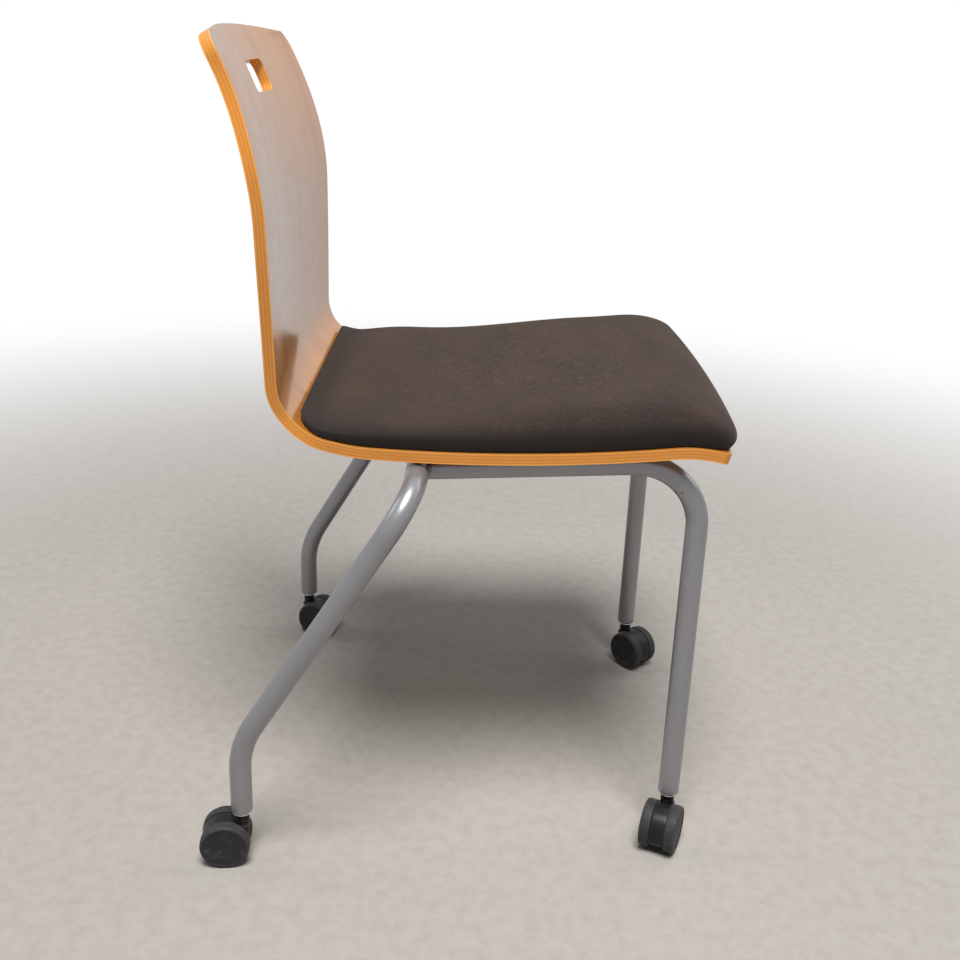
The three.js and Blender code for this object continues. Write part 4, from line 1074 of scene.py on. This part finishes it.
def hollowAt(z):
    # half the chord, at a height, of the round in which the wheels turn
    return np.sqrt(np.maximum(hoodHollow ** 2 - (z - caster["wheelRadius"]) ** 2, 0))


def fenderSurface():
    # a flat, squared-off ring carried along an arc over the wheels, and thinned at the arc's ends
    h = hood
    rise = h["shoulderHeight"] - caster["wheelRadius"]
    shoulder = math.atan2(rise, -math.sqrt(hoodOuter ** 2 - rise ** 2))
    sweep = np.linspace(math.radians(h["tailAngle"]), shoulder + h["shoulderLap"], h["arcSteps"])
    angle = ringAngles(h["ringSides"])
    across = squaredOff(np.cos(angle), h["squareness"][0]) * h["width"] / 2
    thick = squaredOff(np.sin(angle), h["squareness"][1]) * h["wall"] / 2
    step = np.arange(h["arcSteps"])
    close = np.clip(np.minimum(step, step[::-1]) / 2, 0, 1)[:, None] ** 0.5
    radius = hoodOuter - h["wall"] / 2 + thick * close
    fender = np.stack([caster["trail"] + radius * np.cos(sweep)[:, None],
                       across * (h["tipWidth"] + (1 - h["tipWidth"]) * close),
                       caster["wheelRadius"] + radius * np.sin(sweep)[:, None]], -1)
    return fender, gridFaces(h["arcSteps"], h["ringSides"], closeColumns=True)


def webSurface():
    # a plate between the wheels, from the fender down to a boss round the axle
    h = hood
    reach = hoodOuter - h["wall"] / 2
    above = np.linspace(math.radians(h["tailAngle"]), math.radians(h["webEnd"]), h["webSteps"])
    below = np.linspace(math.radians(h["bossFrom"]), math.radians(h["bossTo"]), h["bossSteps"])
    rim = np.concatenate([reach * np.stack([np.cos(above), np.sin(above)], 1),
                          h["boss"] * np.stack([np.cos(below), np.sin(below)], 1)])
    layers = [(0.0, -1), (0.9, -1), (1.0, -0.8), (1.0, 0.8), (0.9, 1), (0.0, 1)]
    web = [np.stack([caster["trail"] + rim[:, 0] * share, np.full(len(rim), side * h["web"] / 2),
                     caster["wheelRadius"] + rim[:, 1] * share], -1) for share, side in layers]
    return np.stack(web), gridFaces(len(layers), len(rim), closeColumns=True)


def neckSurface():
    # a grooved collar round the stem, cut back where the wheels turn
    n = hoodNeck
    radius, low, top = n["radius"], n["low"], n["top"]
    bore, seat = caster["stem"] + n["stemPlay"], caster["stemSeat"] - caster["play"]
    profile = [(0, low)] + [(radius, z) for z in np.linspace(low, n["bodyTop"], n["bodySteps"])]
    profile += [(radius - depth, z) for depth, z in n["collar"]]
    profile += [(radius, top), (bore, top), (bore, seat), (0, seat)]
    rounding = [0, 0.6] + [0] * (len(profile) - 5) + [0.7, 0.3, 0]
    points, faces = turnedSurface(softProfile(profile, rounding), 40)
    x, z = points[..., 0], points[..., 2]
    inside = np.abs(z - caster["wheelRadius"]) < hoodHollow
    points[..., 0] = np.where(inside, np.minimum(x, caster["trail"] - hollowAt(z)), x)
    return points, faces


def blockSurface():
    # the shoulder that bridges the neck and the fender, with a rounded plan
    b = hoodBlock
    turn = ringAngles(b["sides"])
    x = squaredOff(np.cos(turn), b["squareness"][0]) * b["half"]
    y = squaredOff(np.sin(turn), b["squareness"][1]) * hood["width"] / 2
    block = np.stack([np.stack([b["shift"] + x * share, y * share, np.full(len(turn), z)], -1)
                      for share, z in b["levels"]])
    room = caster["trail"] - hollowAt(block[..., 2]) + b["overWheels"]
    block[..., 0] = np.minimum(block[..., 0], room)
    return block, gridFaces(len(b["levels"]), len(turn), closeColumns=True)


def casterPieces(word, spot):
    c = caster
    x, y, swivel = spot
    a = math.radians(swivel)
    turn = np.array([[math.cos(a), -math.sin(a), 0], [math.sin(a), math.cos(a), 0], [0, 0, 1]])

    def add(name, surface, finish, body, slot, replaced, angle=40):
        placed = surface[0].reshape(-1, 3) @ turn.T + [x, y, 0]
        addPiece(name, placed, surface[1], finish, body, slot, (replaced,), angle)

    legEnd = tube["legEnd"]
    flangeLow, socketTop = legEnd - c["flangeThickness"], legEnd + c["socketRise"]
    bore = c["stem"] + c["play"]
    socket = softProfile([(bore, flangeLow), (c["flange"], flangeLow), (c["flange"], legEnd),
                          (c["socket"], legEnd), (c["socket"], socketTop), (bore, socketTop),
                          (bore, flangeLow)], [0, 0.5, 0.5, 0, 0.4, 0, 0])
    add(f"{word}_socket", turnedSurface(socket, 40), rimMetal, "frame", "zinc_steel",
        f"{word}_caster_socket")
    stemTop = legEnd + c["stemRise"]
    stem = softProfile([(0, c["stemSeat"]), (c["stem"], c["stemSeat"]), (c["stem"], stemTop),
                        (0, stemTop)], [0, 0.6, 1.2, 0])
    add(f"{word}_stem", turnedSurface(stem, 32), zinc, "frame", "zinc_steel", f"{word}_caster_stem")
    hoodForms = joined([fenderSurface(), webSurface(), neckSurface(), blockSurface()])
    add(f"{word}_hood", hoodForms, hoodPlastic, f"{word}_caster", "caster_nylon",
        f"{word}_caster_hood", 45)
    reach = c["inner"] + c["bore"] - c["play"]
    pin = softProfile([(0, -reach), (c["axle"] / 2, -reach), (c["axle"] / 2, reach), (0, reach)],
                      [0, 0.5, 0.5, 0])
    points, faces = turnedSurface(pin, 28)
    points = points[..., [0, 2, 1]] + [c["trail"], 0, c["wheelRadius"]]
    add(f"{word}_axle", (points, faces), zinc, f"{word}_caster", "zinc_steel", f"{word}_caster_axle")
    for facing, letter in ((-1, "a"), (1, "b")):
        add(f"{word}_wheel_{letter}_smooth", wheelSurface(facing), wheelPlastic,
            f"{word}_wheel_{letter}", "wheel_nylon", f"{word}_wheel_{letter}", 38)


for word, spot in spots.items():
    casterPieces(word, spot)
print("casters made")


# Hardware under the seat

bolt = dict(sides=36, tip=0.6, socketLip=0.25,
            head=[(0, 0.62), (0.36, 0.62), (0.42, 0), (0.66, 0), (0.9, 0.28), (1, 0.6), (1, 1)],
            kinds=dict(pivot=("pivotBolt", 4.75, 3.4, 2.5), cushion=("boardBolt", 4.0, 2.4, 2.0)))


def headedScrew(kind, word, end):
    # a pan head with a six-sided socket, standing on the place where the CAD screw stands. The
    # head's profile is in shares of its radius and of its crown.
    b = bolt
    source = f"{kind}_screw_{word}_{end}"
    name, head, crown, shaft = b["kinds"][kind]
    low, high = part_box(source)
    bottom, top = low.z / mm, high.z / mm
    profile = [(head * across, bottom + crown * up) for across, up in b["head"]]
    profile.insert(2, (profile[1][0], bottom + b["socketLip"]))
    profile += [(shaft, bottom + crown), (shaft, top - b["tip"]), (shaft - b["tip"], top), (0, top)]
    points, faces = turnedSurface(profile, b["sides"], hexagon=[1, 2])
    points = points + [(low.x + high.x) / 2 / mm, (low.y + high.y) / 2 / mm - setback, 0]
    addPiece(f"{word}_{end}_{name}", points, faces, zinc, "shell", "zinc_steel", (source,), 35)


for word in ("right", "left"):
    easedCopy(f"{word}PivotBlock", f"{word}_pivot_block", blockPlastic, "shell", 1.0)
    easedCopy(f"{word}PivotCap", f"{word}_pivot_cap", blockPlastic, "shell", 1.0)
    easedCopy(f"{word}Saddle", f"{word}_rest_saddle", rubber, "frame", 0.7)
    for end in ("front", "rear"):
        headedScrew("pivot", word, end)
        headedScrew("cushion", word, end)
        repaint(nodes[f"shell_insert_{word}_{end}"].data, zinc)
repaint(nodes["cushion_board"].data, board)
print("hardware made")


# Floor, backdrop and light

stageLook = dict(floor=tone(170, 165, 159), noises=dict(grit=(60, 4, 0.6)),
                 layers=dict(grit=(0.0, 0.5, 0.4, 0.7, tone(154, 149, 143))), seen=1.0, mirrored=0.6,
                 ambient=0.15, fadeStart=0.7, fadeEnd=2.4, floorHalf=9.0, aim=(0, 0, 0.45),
                 lamps=dict(keyLamp=((-2.0, -0.1, 4.8), 2.2, 340), fillLamp=((0.9, -1.6, 1.5), 2.0, 12),
                            rimLamp=((0.6, 2.2, 1.9), 1.2, 8)))


def skyLevel(tree):
    # the ambient strength for soft light; other levels where a ray comes from the view or a mirror
    look = stageLook
    path = node(tree, "ShaderNodeLightPath")
    level = sums(tree, "MULTIPLY_ADD", path.outputs["Is Glossy Ray"], look["mirrored"] - look["ambient"],
                 look["ambient"])
    level = sums(tree, "MULTIPLY_ADD", path.outputs["Is Camera Ray"], look["seen"] - look["ambient"], level)
    clear = sums(tree, "MAXIMUM", path.outputs["Is Camera Ray"], path.outputs["Is Glossy Ray"])
    return level, clear


def makeStage():
    # the floor fades into the backdrop with distance, so that no horizon shows
    look = stageLook
    half = look["floorHalf"]
    mesh = bpy.data.meshes.new("studioFloor")
    mesh.from_pydata([(-half, -half, 0), (half, -half, 0), (half, half, 0), (-half, half, 0)], [],
                     [(0, 1, 2, 3)])
    floor = linked("studioFloor", mesh)
    finish, tree, shader = newFinish("paleFloor", {"Roughness": 0.9, "Specular IOR Level": 0.1})
    connect(tree, shader,
            colour=layered(tree, look["floor"], noises(tree, look["noises"]), look["layers"]))
    level, clear = skyLevel(tree)
    at = node(tree, "ShaderNodeTexCoord").outputs["Object"]
    away = node(tree, "ShaderNodeVectorMath", {0: at}, operation="LENGTH").outputs["Value"]
    fade = node(tree, "ShaderNodeMapRange", {"Value": away, "From Min": look["fadeStart"],
                                             "From Max": look["fadeEnd"]},
                interpolation_type="SMOOTHSTEP").outputs[0]
    glow = node(tree, "ShaderNodeEmission", {"Color": (1, 1, 1, 1), "Strength": level})
    blend = node(tree, "ShaderNodeMixShader", {0: sums(tree, "MULTIPLY", fade, clear),
                                               1: shader.outputs[0], 2: glow.outputs[0]})
    tree.links.new(blend.outputs[0], tree.nodes["Material Output"].inputs["Surface"])
    mesh.materials.append(finish)
    world = bpy.data.worlds.new("paleRoom")
    bpy.context.scene.world = world
    world.use_nodes = True
    back = world.node_tree.nodes["Background"]
    back.inputs["Color"].default_value = (1, 1, 1, 1)
    world.node_tree.links.new(skyLevel(world.node_tree)[0], back.inputs["Strength"])


def softLamp(name, place, size, power):
    data = bpy.data.lights.new(name, "AREA")
    data.shape, data.size, data.energy = "DISK", size, power
    lamp = linked(name, data)
    lamp.location = place
    lamp.rotation_mode = "QUATERNION"
    lamp.rotation_quaternion = (Vector(place) - Vector(stageLook["aim"])).to_track_quat("Z", "Y")


makeStage()
for lampName, settings in stageLook["lamps"].items():
    softLamp(lampName, *settings)
bpy.context.scene.view_settings.view_transform = "Standard"
print("stage made")
